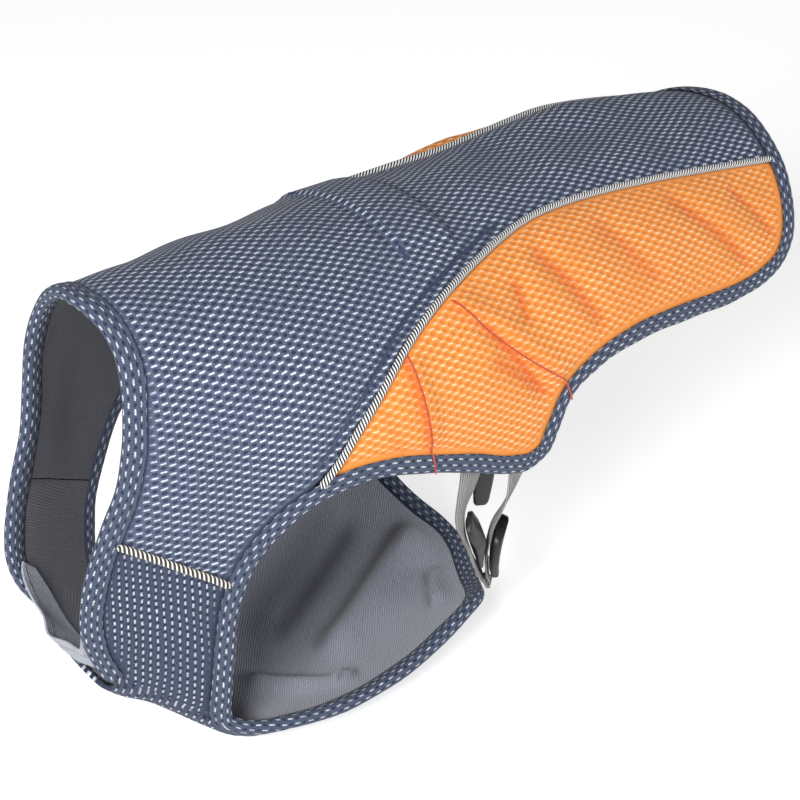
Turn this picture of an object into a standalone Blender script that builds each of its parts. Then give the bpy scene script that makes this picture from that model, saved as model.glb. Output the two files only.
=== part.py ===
"""Cooling vest for a dog, hollow, standing as it is worn.

All tables and sizes are millimetres; points become metres when a mesh is made.
Frame: x runs to the tail, z up, the vest's left side is on -y. The origin is on the
lining's face of the back, on the middle plane, 104 mm behind the neck edge.

The body is one smooth tube. A place on it is (x, d): d is the distance along the cloth
from the spine line (panels of the back and flanks) or from the keel line under the
chest (chest panel), positive on the left side. Panels are cut in that plane, then laid
on the tube, so each keeps the flat size of its cut.
"""
import math

import bmesh
import bpy
import numpy as np
from mathutils import Vector

MM = 0.001

# ---- driving sizes, millimetres -------------------------------------------------------
SHELL = 2.2          # open spacer mesh of the outer panels
CORE_GAP = 1.4       # room of the soft core between shell and lining
LINING = 0.8         # lining cloth
BINDING_WIDTH = 9.5  # bound edge, seen width
BINDING_PROUD = 0.5  # how far the binding stands out of shell and lining
SEAM = 0.3           # clear room between neighbouring pieces
PIPING_RADIUS = 1.6
TAPE_WIDTH = 3.4     # round reflective cord tape on the shoulder seam
TAPE_THICK = 1.2
WEB_WIDTH = 14.0     # webbing of the belly straps
WEB_THICK = 1.4
DEPTH = SHELL + CORE_GAP + LINING

# ---- the tube -------------------------------------------------------------------------
# x, top, level of the widest place, keel, half width, power of upper and lower half
SECTIONS = np.array([
    (-138, 11, -52, -141, 27, 2.5, 4.5),
    (-124, 10, -52, -166, 32, 2.5, 4.5),
    (-111, 9, -53, -181, 36, 2.5, 4.8),
    (-95, 8, -57, -190, 43, 2.4, 5.2),
    (-78, 7, -61, -200, 51, 2.3, 6.0),
    (-60, 6.5, -64, -209, 58, 2.2, 7.5),
    (-30, 5.9, -68, -214, 69, 2.1, 7.5),
    (10, 3.8, -72, -218, 76, 2.0, 6.0),
    (50, 0.4, -75, -213, 79, 2.0, 4.5),
    (85, -3, -77, -207, 79, 2.0, 4.5),
    (115, -5, -78, -203, 79, 2.0, 4.5),
    (200, -12, -82, -187, 74, 2.0, 3.5),
    (312, -20, -87, -172, 65, 2.0, 3.0),
], float)
# Belly plate behind the front legs, a wide shallow dish: x, half width, keel, rise of its
# sides, power of the rise. It takes over from the tube between DISH_FROM and DISH_FULL.
DISH = np.array([
    (-66, 56, -206, 15, 3.2),
    (-42, 63, -212, 17, 2.6),
    (-20, 68, -216, 20, 2.2),
    (0, 70, -218, 22, 2.0),
    (37, 69, -216, 23, 2.0),
    (60, 66, -212, 24, 2.1),
    (80, 62, -208, 24, 2.3),
    (120, 62, -203, 23, 2.3),
], float)
DISH_FROM, DISH_FULL = -68.0, -40.0
# The belly part hangs a little askew: shift along x and z per mm of y, at x
LEAN = np.array([
    (-138, 0.0, 0.28),
    (-60, 0.0, 0.20),
    (0, 0.10, 0.15),
    (80, 0.20, 0.15),
    (312, 0.20, 0.15),
], float)
LEAN_FROM, LEAN_OVER = -112.0, 65.0
# The cloth of the back lies a little higher or lower on its right half: x, rise
SWAY = np.array([
    (-138, -3.0), (-103, -3.0), (-69, -4.0), (-37, -4.5), (-4, -4.5), (15, -3.0),
    (32, -1.5), (60, -0.5), (100, 0.5), (135, 2.0), (157, 5.0), (175, 7.5), (195, 9.5),
    (215, 9.0), (235, 7.5), (255, 5.5), (275, 3.0), (292, 1.0), (312, 0.0),
], float)
SWAY_SIDE, SWAY_LEVEL = (0.0, 32.0), (-90.0, 60.0)   # y and z where it starts, and its reach
# The front of the chest part is drawn up
DRAWN, DRAWN_AHEAD, DRAWN_UNDER = 7.0, (-58.0, 45.0), (-95.0, 70.0)

# ---- edges and seams of the left half, as seen from the side: x, z ---------------------
NECK_EDGE = [  # from the spine down to the end of the neck binding
    (-103.8, 8.6), (-102.5, 4), (-102, -6), (-103, -18), (-105, -32), (-107, -50),
    (-111, -69), (-117, -84), (-123, -100), (-127, -118), (-128, -134), (-125, -150),
    (-118, -165),
]
OUTER_EDGE = [  # up the front of the leg opening, over it, round the flank lobe, to the tail
    (-68, -189.5), (-69.5, -182), (-69.5, -172), (-68, -153), (-64.5, -132), (-56.5, -114),
    (-46, -101), (-34, -92), (-17, -87), (3, -88), (24, -94), (48, -103), (68, -112),
    (84, -116), (95, -112), (102, -100), (109.5, -87), (126, -79), (153, -76), (190, -79),
    (228, -83), (247, -82), (262, -77), (271, -68), (276.5, -57), (281, -44), (285, -32.5),
    (288, -24.5), (290.5, -20), (292, -18.6),
]
TAPE_SEAM = [(-130, -82), (-117, -89), (-101, -99.5), (-85, -111), (-68, -122.5), (-48, -137)]
PIPING = [  # x, distance from the spine along the cloth
    (-42, 137), (-24, 121), (-12, 106.5), (1, 94.5), (19, 80), (39, 68.3), (55, 61),
    (71, 54.4), (94, 46.3), (118, 40.5), (141, 38.5), (164, 38.3), (197, 39.8), (241, 44),
    (270, 47), (300, 50),
]
# ---- edges of the belly part's left half: x, y -------------------------------------------
PLATE_START = [  # its first stretch from the corner of the leg opening, as x, z
    (-68, -189.5), (-65, -190.6), (-60.5, -192.0), (-54, -193.4), (-46, -194.6),
]
PLATE_EDGE = [  # on from there round the plate's corner to the middle and past it
    (-33, 65), (-11, 69.5),
    (15, 70.5), (37, 70), (57, 68.5), (70, 66.8), (80.5, 64), (88.5, 58.5), (94.5, 49.5),
    (100, 37), (105, 24), (109.6, 11), (111, 0), (109.6, -11),
]
PLATE_CORNER = (86.0, 61.0)
CHEST_FRONT_BOW = 3.0            # forward bow of the chest panel's front seam
GUSSET_X = (-128.5, -109.0)      # stretch gusset: free edge and sewn edge on the middle
GUSSET_HALF = 52.0               # its half length round the hoop
GUSSET_LIFT = -6.2               # it is sewn inside the chest panel and the binding
GUSSET_THICK = 0.9

# ---- tucks, folds and ribs -------------------------------------------------------------
# panel, x and d of both ends, half width, height, how much steeper the lower side is
FOLDS = [
    ("side", 19, 80, 26, 128, 6.0, 1.8, 0.5),
    ("side", 50, 64, 104, 116, 8.0, 3.6, 0.9),
    ("side", 92, 60, 100, 84, 9.0, 1.4, 0.0),
    ("side", 108, 56, 131, 98, 10.0, 2.0, 0.3),
    ("side", 150, 52, 172, 88, 9.0, 1.4, 0.0),
    ("side", 200, 52, 236, 94, 9.0, 1.4, 0.2),
    ("side", 240, 56, 258, 84, 8.0, 1.1, 0.0),
    ("gusset", -132, -2, -104, 8, 7.0, 4.5, 0.0),
    ("floor", 40, 44, 58, 8, 9.0, 3.0, 0.0),
    ("floor", -38, 26, 16, 44, 8.0, 2.2, 0.0),
]
FLAP_X = (38.0, 76.0)                   # band across the back, its front and rear edge
FLAP_HALF = 43.0                        # its half length along the cloth
FLAP_THICK = 1.4
TACKS = [(42.5, 39.0), (72.5, 37.5)]    # bar tacks at its ends: x, d
TACK_SIZE = (2.4, 8.0, 0.8)             # along x, across, height

# ---- belly strap, left side: loop of webbing, x, y, z and turn of its width --------------
STRAP = [
    (54.0, -72.4, -88.0, 0.0), (54.0, -72.4, -98.0, 0.0), (54.2, -71.2, -107.4, 0.1),
    (56.1, -66.9, -122.0, 0.4), (58.3, -64.1, -131.0, 0.6), (65.2, -60.4, -142.7, 0.85),
    (75.0, -56.3, -155.8, 1.0), (85.0, -52.3, -169.5, 1.0), (91.6, -50.4, -179.0, 1.0),
    (94.6, -49.6, -182.6, 1.0), (96.6, -49.8, -180.6, 1.0), (95.2, -51.0, -176.5, 1.0),
    (93.4, -52.1, -171.0, 1.0), (91.0, -54.2, -163.0, 1.0), (89.2, -57.6, -150.0, 1.0),
    (90.0, -60.9, -141.0, 0.95), (90.9, -63.2, -133.8, 0.75), (89.3, -66.2, -124.5, 0.4),
    (85.6, -70.2, -112.0, 0.1), (83.6, -72.4, -100.0, 0.0), (83.2, -72.4, -88.0, 0.0),
]
TOWARDS = (-0.5624, -0.6469, 0.5150)    # width of the turned webbing
# anchor tab on the belly plate: x, y, height out of the plate's outer face
TAB = [(64, 44.5, 1.9), (76, 44.5, 1.9), (85, 44.5, 2.0), (93, 44.5, 1.8)]
TAB_WIDTH = 11.0
# pieces that lie along the webbing: z at both ends of the stretch, then thickness and width
# at the start, the middle and the end
SLIDER = ((-138.0, -162.0), (2.4, 9.0), (5.6, 14.0), (2.0, 12.0))
SOCKET = ((-176.5, -149.0), (4.6, 14.0), (5.6, 15.0), (5.4, 17.0))
# plug: start and end of its axis, thickness and width at both ends
PLUG = ((65.6, -66.4, -107.0), (71.6, -62.2, -133.0), 9.0, 4.6, 7.4, 4.6)

NS = 241                                # points of a half section
STATIONS = np.arange(-138.0, 313.0, 1.0)


def through(table, column, x):
    """Smooth curve through a table's rows, read at x."""
    xs, ys = table[:, 0], table[:, column]
    x = np.clip(np.asarray(x, float), xs[0], xs[-1])
    slope = np.gradient(ys, xs)
    i = np.clip(np.searchsorted(xs, x, side="right") - 1, 0, len(xs) - 2)
    h = xs[i + 1] - xs[i]
    t = (x - xs[i]) / h
    return ((2 * t**3 - 3 * t**2 + 1) * ys[i] + (t**3 - 2 * t**2 + t) * h * slope[i]
            + (-2 * t**3 + 3 * t**2) * ys[i + 1] + (t**3 - t**2) * h * slope[i + 1])


def ease(t):
    """Smooth step from 0 to 1."""
    t = np.clip(t, 0, 1)
    return t * t * (3 - 2 * t)


def sections(x):
    """Half outlines at the stations x: widths, levels and whole lengths."""
    top, wide, keel, half, up, down = (through(SECTIONS, k, x)[:, None] for k in range(1, 7))
    angle = np.linspace(0.0, math.pi, 4 * NS)[None, :]
    s, c = np.abs(np.sin(angle)), np.cos(angle)
    power = np.where(c >= 0, up, down)
    reach = np.where(c >= 0, top - wide, wide - keel)
    r = ((s / half)**power + (np.abs(c) / reach)**power)**(-1.0 / power)
    y, z = r * s, wide + r * c
    arc = np.concatenate([np.zeros((len(x), 1)),
                          np.cumsum(np.hypot(np.diff(y), np.diff(z)), axis=1)], axis=1)
    share = np.linspace(0, 1, NS)
    even = [np.array([np.interp(share * a[-1], a, v) for a, v in zip(arc, w)]) for w in (y, z)]
    return even[0], even[1], arc[:, -1]


WIDTHS, LEVELS, GIRTHS = sections(STATIONS)


def half_girth(x):
    """Distance along the cloth from spine to keel at x."""
    return np.interp(x, STATIONS, GIRTHS)


def bare(x, d):
    """Point of the upright tube at (x, d from the spine), left side on -y."""
    x, d = np.broadcast_arrays(np.asarray(x, float), np.asarray(d, float))
    place = np.clip(x - STATIONS[0], 0, len(STATIONS) - 1.001)
    i = place.astype(int)
    t = place - i
    share = np.clip(np.abs(d) / half_girth(x), 0, 1) * (NS - 1)
    j = np.minimum(share.astype(int), NS - 2)
    s = share - j
    parts = []
    for grid in (WIDTHS, LEVELS):
        near = grid[i, j] * (1 - s) + grid[i, j + 1] * s
        far = grid[i + 1, j] * (1 - s) + grid[i + 1, j + 1] * s
        parts.append(near * (1 - t) + far * t)
    return np.stack([x, -np.where(d >= 0, 1.0, -1.0) * parts[0], parts[1]], -1)


def lean(points):
    """The askew hang of the belly part, and the uneven lie of back and chest."""
    p = np.array(points, float)
    t = ease((LEAN_FROM - p[..., 2]) / LEAN_OVER)
    x, y = p[..., 0].copy(), p[..., 1]
    p[..., 0] += through(LEAN, 1, x) * y * t
    p[..., 2] += through(LEAN, 2, x) * y * t
    z = p[..., 2].copy()
    p[..., 2] += (through(SWAY, 1, x) * ease((y - SWAY_SIDE[0]) / SWAY_SIDE[1])
                  * ease((z - SWAY_LEVEL[0]) / SWAY_LEVEL[1]))
    p[..., 2] += (DRAWN * ease((DRAWN_AHEAD[0] - x) / DRAWN_AHEAD[1])
                  * ease((DRAWN_UNDER[0] - z) / DRAWN_UNDER[1]))
    return p


def hoop_bare(x, c):
    """Point of the upright tube at x and the distance c from the keel line."""
    c = np.asarray(c, float)
    return bare(x, np.where(c >= 0, 1.0, -1.0) * (half_girth(x) - np.abs(c)))


def floor_bare(x, y):
    """Point of the upright belly part at x and y, y positive on the left side."""
    x, y = np.broadcast_arrays(np.asarray(x, float), np.asarray(y, float))
    wide, keel, half, power = (through(SECTIONS, k, x) for k in (2, 3, 4, 6))
    share = np.clip(np.abs(y) / half, 0, 0.9999)**power
    round_z = wide - (wide - keel) * (1 - share)**(1 / power)
    width, low, rise, bend = (through(DISH, k, x) for k in range(1, 5))
    dish_z = low + rise * (np.abs(y) / width)**bend
    t = ease((x - DISH_FROM) / (DISH_FULL - DISH_FROM))
    return np.stack([x, -y, round_z * (1 - t) + dish_z * t], -1)


def at_height(rows):
    """Table of x, z on the upright belly part as an array of x, y."""
    share, out = np.linspace(0, 0.9999, 1600), []
    for x, z in rows:
        y = share * through(SECTIONS, 4, x)
        out.append((x, np.interp(z, floor_bare(np.full(y.shape, x), y)[:, 2], y)))
    return out


def tube(x, d):
    """Point of the outer face at x and the distance d from the spine."""
    return lean(bare(x, d))


def hoop(x, c):
    """Point of the outer face at x and the distance c from the keel line."""
    return lean(hoop_bare(x, c))


def floor(x, y):
    """Point of the belly part's outer face at x and y, y positive on the left side."""
    return lean(floor_bare(x, y))


UPRIGHT = {tube: bare, hoop: hoop_bare, floor: floor_bare}
OUTWARD = {tube: -1.0, bare: -1.0, hoop: 1.0, hoop_bare: 1.0, floor: 1.0, floor_bare: 1.0}


def tangents(surface, u, v, step=0.75):
    """Steps along both directions of a surface, per mm of its plane."""
    return ((surface(u + step, v) - surface(u - step, v)) / (2 * step),
            (surface(u, v + step) - surface(u, v - step)) / (2 * step))


def normal(surface, u, v):
    """Outward unit normal."""
    along, across = tangents(surface, u, v)
    n = np.cross(along, across) * OUTWARD[surface]
    return n / np.maximum(np.linalg.norm(n, axis=-1, keepdims=True), 1e-9)


def lifted(surface, places, lift=0.0):
    """Points over places of a surface, moved out of the cloth by lift."""
    u, v = places[..., 0], places[..., 1]
    return surface(u, v) + normal(surface, u, v) * (np.zeros(u.shape) + lift)[..., None]


def at_level(x, z):
    """Distance from the spine where the tube's side has the level z."""
    i = np.clip(np.asarray(x) - STATIONS[0], 0, len(STATIONS) - 1.001)
    k, share, out = i.astype(int), np.linspace(0, 1, NS), []
    for n, t, level in zip(k, i - k, z):
        row = LEVELS[n] * (1 - t) + LEVELS[n + 1] * t
        out.append(np.interp(-level, -row, share) * (GIRTHS[n] * (1 - t) + GIRTHS[n + 1] * t))
    return np.array(out)


def from_side(rows):
    """Table of x, z as an array of x, d from the spine."""
    rows = np.array(rows, float)
    return np.stack([rows[:, 0], at_level(rows[:, 0], rows[:, 1])], -1)


# ---- lines in the plane of the cloth ------------------------------------------------------
def curve(rows, step=0.5):
    """Dense smooth line through rows."""
    rows = np.array(rows, float)
    run = np.concatenate([[0], np.cumsum(np.linalg.norm(np.diff(rows, axis=0), axis=1))])
    table = np.column_stack([run, rows])
    at = np.linspace(0, run[-1], max(int(run[-1] / step), 4))
    return np.stack([through(table, k, at) for k in range(1, table.shape[1])], -1)


def inset(surface, line, by):
    """The line moved sideways in the cloth: outward normal x run direction for by > 0."""
    surface = UPRIGHT[surface]
    steps = max(1, int(math.ceil(abs(by) / 1.2)))
    for _ in range(steps):
        along, across = tangents(surface, line[:, 0], line[:, 1])
        run = np.gradient(line, axis=0)
        ahead = along * run[:, :1] + across * run[:, 1:]
        side = np.cross(normal(surface, line[:, 0], line[:, 1]), ahead)
        side /= np.linalg.norm(side, axis=1, keepdims=True)
        e, f, g = ((a * b).sum(1) for a, b in ((along, along), (along, across),
                                               (across, across)))
        p, q = (along * side).sum(1), (across * side).sum(1)
        det = e * g - f * f
        line = line + by / steps * np.stack([(g * p - f * q) / det, (e * q - f * p) / det], -1)
    return line


def meeting(a, b):
    """Fractional indices on lines a and b where they cross first, going along a."""
    p, r = a[:-1], np.diff(a, axis=0)
    q, s = b[:-1], np.diff(b, axis=0)
    for i in range(len(p)):
        den = r[i, 0] * s[:, 1] - r[i, 1] * s[:, 0]
        den = np.where(np.abs(den) < 1e-12, 1e-12, den)
        w = q - p[i]
        t = (w[:, 0] * s[:, 1] - w[:, 1] * s[:, 0]) / den
        u = (w[:, 0] * r[i, 1] - w[:, 1] * r[i, 0]) / den
        hit = np.nonzero((t >= 0) & (t < 1) & (u >= 0) & (u < 1))[0]
        if len(hit):
            return i + t[hit[0]], hit[0] + u[hit[0]]
    raise ValueError("lines do not meet")


class Edge:
    """A dense line on a surface, with its inward side, read at shared stations."""

    def __init__(self, surface, rows, inward=1.0):
        self.surface, self.line, self.inward = surface, curve(rows), inward

    def moved(self, by):
        """The whole line, moved inward."""
        return inset(self.surface, self.line, by * self.inward) if by else self.line

    def at(self, stations, by=0.0):
        """Places at fractional indices of the line moved inward."""
        line, k = self.moved(by), np.arange(len(self.line))
        return np.stack([np.interp(stations, k, line[:, c]) for c in (0, 1)], -1)

    def nearest(self, place):
        """Index of the line's point nearest to a place."""
        return float(np.argmin(np.linalg.norm(self.line - np.array(place), axis=1)))

    def binding(self, stations, side=1):
        """Rings of the cloth folded over this edge, or over its twin on the right side."""
        out, low = BINDING_PROUD, -DEPTH - BINDING_PROUD
        rows = [(-0.3, -DEPTH / 2), (1.4, out), (BINDING_WIDTH, out), (BINDING_WIDTH, low),
                (1.4, low)]
        turn = np.array([1.0, side])
        return np.stack([lifted(self.surface, self.at(stations, by) * turn, lift)
                         for by, lift in rows], 1)


def patch(top, bottom, front, rear):
    """Places between four edges: rows run from top to bottom, columns front to rear."""
    u = np.linspace(0, 1, len(top))[None, :, None]
    v = np.linspace(0, 1, len(front))[:, None, None]
    ruled = (1 - v) * top[None] + v * bottom[None] + (1 - u) * front[:, None] + u * rear[:, None]
    corner = ((1 - u) * (1 - v) * top[0] + u * (1 - v) * top[-1]
              + (1 - u) * v * bottom[0] + u * v * bottom[-1])
    return ruled - corner


def fold_height(panel, places):
    """Outward height of a panel's tucks and folds."""
    x, d = places[..., 0], places[..., 1]
    h = np.zeros(x.shape)
    for name, x0, d0, x1, d1, wide, high, steep in FOLDS:
        if name != panel:
            continue
        size = math.hypot(x1 - x0, d1 - d0)
        rx, rd = (x1 - x0) / size, (d1 - d0) / size
        t = ((x - x0) * rx + (d - d0) * rd) / size
        off = (x - x0) * rd - (d - d0) * rx
        fade = ease(np.minimum(t + 0.12, 1.12 - t) / 0.24)
        h += high * fade * np.exp(-(off * np.where(off < 0, 1.0 + steep, 1.0) / wide)**2)
    return h


def mirrored(places):
    """The right side's places of left side places."""
    return places * np.array([1.0, -1.0])


# ---- meshes --------------------------------------------------------------------------------
NAVY, ORANGE, GREY = (0.042, 0.075, 0.16), (0.90, 0.26, 0.035), (0.24, 0.25, 0.28)
PALE, BLACK, CORD = (0.42, 0.43, 0.45), (0.015, 0.015, 0.017), (0.35, 0.35, 0.33)


def finish(name, colour, roughness):
    """Own material of a piece."""
    material = bpy.data.materials.new("mat_" + name)
    material.use_nodes = True
    shader = material.node_tree.nodes["Principled BSDF"]
    shader.inputs["Base Color"].default_value = (*colour, 1.0)
    shader.inputs["Roughness"].default_value = roughness
    return material


def piece(name, bm, colour, roughness=0.8, smooth=True):
    """Object of a mesh in the part's collection."""
    mesh = bpy.data.meshes.new(name)
    bm.to_mesh(mesh)
    bm.free()
    for face in mesh.polygons:
        face.use_smooth = smooth
    ob = bpy.data.objects.new(name, mesh)
    ob.data.materials.append(finish(name, colour, roughness))
    PART.objects.link(ob)
    return ob


def sheet(name, layers, colour):
    """Cloth between grids of outer and inner points; grids of one piece share edges."""
    bm = bmesh.new()
    known, outer_verts, inner_verts, faces = {}, [], [], []

    def vertex(out, under):
        """Index of a point pair, the same for points that fall together."""
        cell = tuple(int(round(v / 0.2)) for v in out)
        for key in [(cell[0] + i, cell[1] + j, cell[2] + k)
                    for i in (0, -1, 1) for j in (0, -1, 1) for k in (0, -1, 1)]:
            for n in known.get(key, ()):
                if (outer_verts[n].co - Vector(out * MM)).length < 0.0001:
                    return n
        outer_verts.append(bm.verts.new(Vector(out * MM)))
        inner_verts.append(bm.verts.new(Vector(under * MM)))
        known.setdefault(cell, []).append(len(outer_verts) - 1)
        return len(outer_verts) - 1

    for out, under in layers:
        ids = [[vertex(o, u) for o, u in zip(*rows)] for rows in zip(out, under)]
        for r in range(len(ids) - 1):
            for c in range(len(ids[0]) - 1):
                ring = [ids[r][c], ids[r + 1][c], ids[r + 1][c + 1], ids[r][c + 1]]
                kept = [v for k, v in enumerate(ring) if v != ring[k - 1]]
                if len(kept) > 2:
                    faces.append(kept)
    border = {}
    for ring in faces:
        bm.faces.new([outer_verts[v] for v in ring])
        bm.faces.new([inner_verts[v] for v in ring[::-1]])
        for k, v in enumerate(ring):
            pair = (ring[k - 1], v)
            if pair[::-1] in border or pair in border:
                border.pop(pair[::-1], None)
                border.pop(pair, None)
            else:
                border[pair] = True
    for v, w in border:
        bm.faces.new([outer_verts[w], outer_verts[v], inner_verts[v], inner_verts[w]])
    bmesh.ops.recalc_face_normals(bm, faces=bm.faces)
    return piece(name, bm, colour)


def wall(surface, places, top, thick):
    """Outer and inner points of cloth over places."""
    return lifted(surface, places, top), lifted(surface, places, top - thick)


def rail(name, rings, colour, closed=False, roughness=0.8, smooth=True):
    """Loft through rings of points, closed on itself or capped at both ends."""
    bm = bmesh.new()
    rings = [[bm.verts.new(Vector(p * MM)) for p in ring] for ring in rings]
    n = len(rings[0])
    for k in range(len(rings) if closed else len(rings) - 1):
        a, b = rings[k], rings[(k + 1) % len(rings)]
        for j in range(n):
            bm.faces.new([a[j], a[(j + 1) % n], b[(j + 1) % n], b[j]])
    if not closed:
        bm.faces.new(rings[0][::-1])
        bm.faces.new(rings[-1])
    bmesh.ops.recalc_face_normals(bm, faces=bm.faces)
    return piece(name, bm, colour, roughness, smooth)


def band_rings(points, width, normals, wide, thick):
    """Rings of a flat band along points; width and normals are its unit directions."""
    w, t = width * wide / 2, normals * thick / 2
    return np.stack([points - w - t, points + w - t, points + w + t, points - w + t], 1)


def unit(v):
    """Vectors of length one."""
    return v / np.linalg.norm(v, axis=-1, keepdims=True)


def on_side(points, side):
    """Left side points, or their mirror image on the right, hung askew."""
    return lean(points * np.array([1.0, side, 1.0]))


# ---- scene ------------------------------------------------------------------------------
for old in list(bpy.data.objects):
    bpy.data.objects.remove(old, do_unlink=True)
PART = bpy.data.collections.new("dog_cooling_vest")
bpy.context.scene.collection.children.link(PART)

IN = BINDING_WIDTH + SEAM
N_TAPE, N_LEG, N_SIDE, N_ACROSS, N_DOWN, N_PLATE, N_REAR = 6, 6, 22, 10, 6, 11, 6
PIPE_ROOM = PIPING_RADIUS + SEAM
PIPING_SKEW = 7.0                       # the piping starts this much behind the oblique edge
PIPING_RISE, PIPING_SIDES = 0.3, 8
CORNER_ROOM = 1.0                       # extra room of the cloth's edge at that corner
HAIR = 0.7                              # half a seam's room, in steps of the dense lines

neck = Edge(tube, from_side(NECK_EDGE))
outer = Edge(tube, from_side(OUTER_EDGE))
piping = Edge(tube, PIPING)
tape = Edge(tube, from_side(TAPE_SEAM))
plate = Edge(floor, at_height(PLATE_START) + PLATE_EDGE, -1.0)

# stations that neighbouring pieces share
outer_in, neck_in = outer.moved(IN), neck.moved(IN)
s_tape = meeting(outer_in, tape.line)[0]
s_pipe, p_front = meeting(outer_in[int(s_tape) + 4:], piping.line)
s_pipe += int(s_tape) + 4
half_way = int(outer.nearest(from_side([(190, -79)])[0]))
s_tail, p_rear = meeting(outer_in[half_way:], piping.line)
s_tail += half_way
s_corner = outer.nearest(from_side([(265, -75)])[0])
s_spine = len(outer.line) - 1.0
n_tape = meeting(neck_in, tape.line)[0]
n_end = len(neck.line) - 1.0
t_front, t_rear = meeting(tape.line, neck_in)[0], meeting(tape.line, outer_in)[0]
f_corner = plate.nearest(PLATE_CORNER)
f_mid = plate.nearest((112, 0))

down = np.linspace(0, s_tape, N_DOWN + 1)
leg = np.linspace(s_tape, s_pipe, N_LEG + 1)
flank = np.linspace(s_pipe, s_corner, N_SIDE + 1)
rear = np.linspace(s_corner, s_tail, N_ACROSS + 1)
tail = np.linspace(s_tail, s_spine, N_ACROSS + 1)
collar = np.linspace(0, n_tape, N_ACROSS + 1)
throat = np.linspace(n_tape, n_end, N_DOWN + 1)
side_edge = f_corner * np.linspace(0, 1, N_PLATE + 1)**1.5   # closer at the tight corner
rear_edge = np.linspace(f_corner, f_mid, N_REAR + 1)
shoulder = np.linspace(t_front, t_rear, N_TAPE + 1)
rope = np.linspace(p_front, p_rear, N_SIDE + 1)


def joined(*parts):
    """Lines joined end to start."""
    return np.concatenate([parts[0]] + [p[1:] for p in parts[1:]])


def pinned(line, start, end):
    """The line with its ends moved onto shared corners, the rest following."""
    t = np.linspace(0, 1, len(line))[:, None]
    return line + (start - line[0]) * (1 - t)**3 + (end - line[-1]) * t**3


# ---- shell of the back ---------------------------------------------------------------------
leg_line, flank_line = outer.at(leg, IN), outer.at(flank, IN)
rear_line, tail_line = outer.at(rear, IN), outer.at(tail, IN)
tail_line[-1, 1] = 0.0
collar_line = neck.at(collar, IN)
collar_line[0, 1] = 0.0
collar_line[-1] = neck.at([n_tape - HAIR], IN)[0]
leg_line[0] = outer.at([s_tape + HAIR], IN)[0]
tape_up = pinned(tape.at(shoulder, 0.3), collar_line[-1], leg_line[0])
pipe_up = piping.at(rope, PIPE_ROOM)
back_leg, back_tail = leg_line.copy(), tail_line.copy()
above = piping.moved(PIPE_ROOM)
up_front = meeting(outer_in[int(s_tape) + 4:], above)[0] + int(s_tape) + 4
up_rear = meeting(outer_in[half_way:], above)[0] + half_way
back_leg[-1] = pipe_up[0] = outer.at([up_front], IN)[0]
back_tail[0] = pipe_up[-1] = outer.at([up_rear], IN)[0]
lower = joined(tape_up, back_leg, pipe_up)
cut = np.linspace(0, 1, len(lower))
run = np.interp(cut, [0, N_TAPE / len(lower), (N_TAPE + N_LEG) / len(lower), 1],
                [collar_line[0, 0], -56, -16, tail_line[-1, 0]])
spine = np.stack([run, 0 * run], -1)
half = patch(spine, lower, collar_line, back_tail[::-1])
whole = np.concatenate([mirrored(half)[:0:-1], half])
sheet("shell_back", [wall(tube, whole, 0.0, SHELL)], NAVY)

# ---- shell of the flanks --------------------------------------------------------------------
pipe_down = piping.at(rope, -PIPE_ROOM)
meet_front = meeting(outer_in, piping.moved(-PIPE_ROOM))
meet_rear = meeting(outer_in[half_way:], piping.moved(-PIPE_ROOM))
first = outer.at(np.array([meet_front[0]]), IN)[0]
last = outer.at(np.array([meet_rear[0] + half_way]), IN)[0]
flank_low = flank_line.copy()
flank_low[0] = first
rear_low = rear_line.copy()
rear_low[-1] = last
under_rope = rope.copy()
under_rope[[0, -1]] = meet_front[1], meet_rear[1]
top_edge = piping.at(under_rope, -PIPE_ROOM)
top_edge[[0, -1]] = first, last
ends = np.repeat(first[None], N_ACROSS + 1, axis=0)
flank_grid = patch(top_edge, flank_low, ends, rear_low[::-1])
for side, label in ((1, "left"), (-1, "right")):
    grid = flank_grid if side > 0 else mirrored(flank_grid)
    sheet("shell_flank_" + label, [wall(tube, grid, fold_height("side", flank_grid), SHELL)],
          ORANGE)

# ---- shell of chest and belly plate -----------------------------------------------------------
def loose(stations):
    """Share of the extra room by the corner of the leg opening, at stations from it."""
    return ease(1.6 - stations / 50.0)[:, None]


throat_line, down_line = neck.at(throat, IN), outer.at(down, IN)
down_line = down_line + (outer.at(down, IN + CORNER_ROOM) - down_line) * loose(down)
throat_line[0] = neck.at([n_tape + HAIR], IN)[0]
down_line[-1] = outer.at([s_tape - HAIR], IN)[0]
tape_down = pinned(tape.at(shoulder, -0.3), throat_line[0], down_line[-1])


def to_floor(places):
    """Places of the tube near the keel, as x, y of the belly part."""
    return bare(places[:, 0], places[:, 1])[:, :2] * np.array([1.0, -1.0])


fold_line = np.linspace(0, 1, N_TAPE + 1)[:, None]
fold_line = throat_line[-1] * (1 - fold_line) + down_line[0] * fold_line
strip = patch(tape_down, fold_line, throat_line, down_line[::-1])
plate_side = plate.at(side_edge, IN) + (plate.at(side_edge, IN + CORNER_ROOM)
                                        - plate.at(side_edge, IN)) * loose(side_edge)
plate_side[0] = to_floor(down_line[:1])[0]
plate_rear = plate.at(rear_edge, IN)
plate_rear[-1, 1] = 0.0
left_line = joined(to_floor(fold_line), plate_side)
rear_half = joined(plate_rear, mirrored(plate_rear[::-1]))
gate = to_floor(throat_line[-1:])[0]
y_front = np.linspace(gate[1], -gate[1], 2 * N_REAR + 1)
front_line = np.stack([gate[0] - CHEST_FRONT_BOW * (1 - (y_front / gate[1])**2), y_front], -1)
block = patch(left_line, mirrored(left_line), front_line, rear_half)


def chest_walls(top, thick, wave=0.0):
    """Walls of the two strips and the belly part."""
    return [wall(tube, strip, top, thick), wall(tube, mirrored(strip), top, thick),
            wall(floor, block, top - wave, thick)]


sheet("shell_chest", chest_walls(0.0, SHELL), NAVY)

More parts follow.
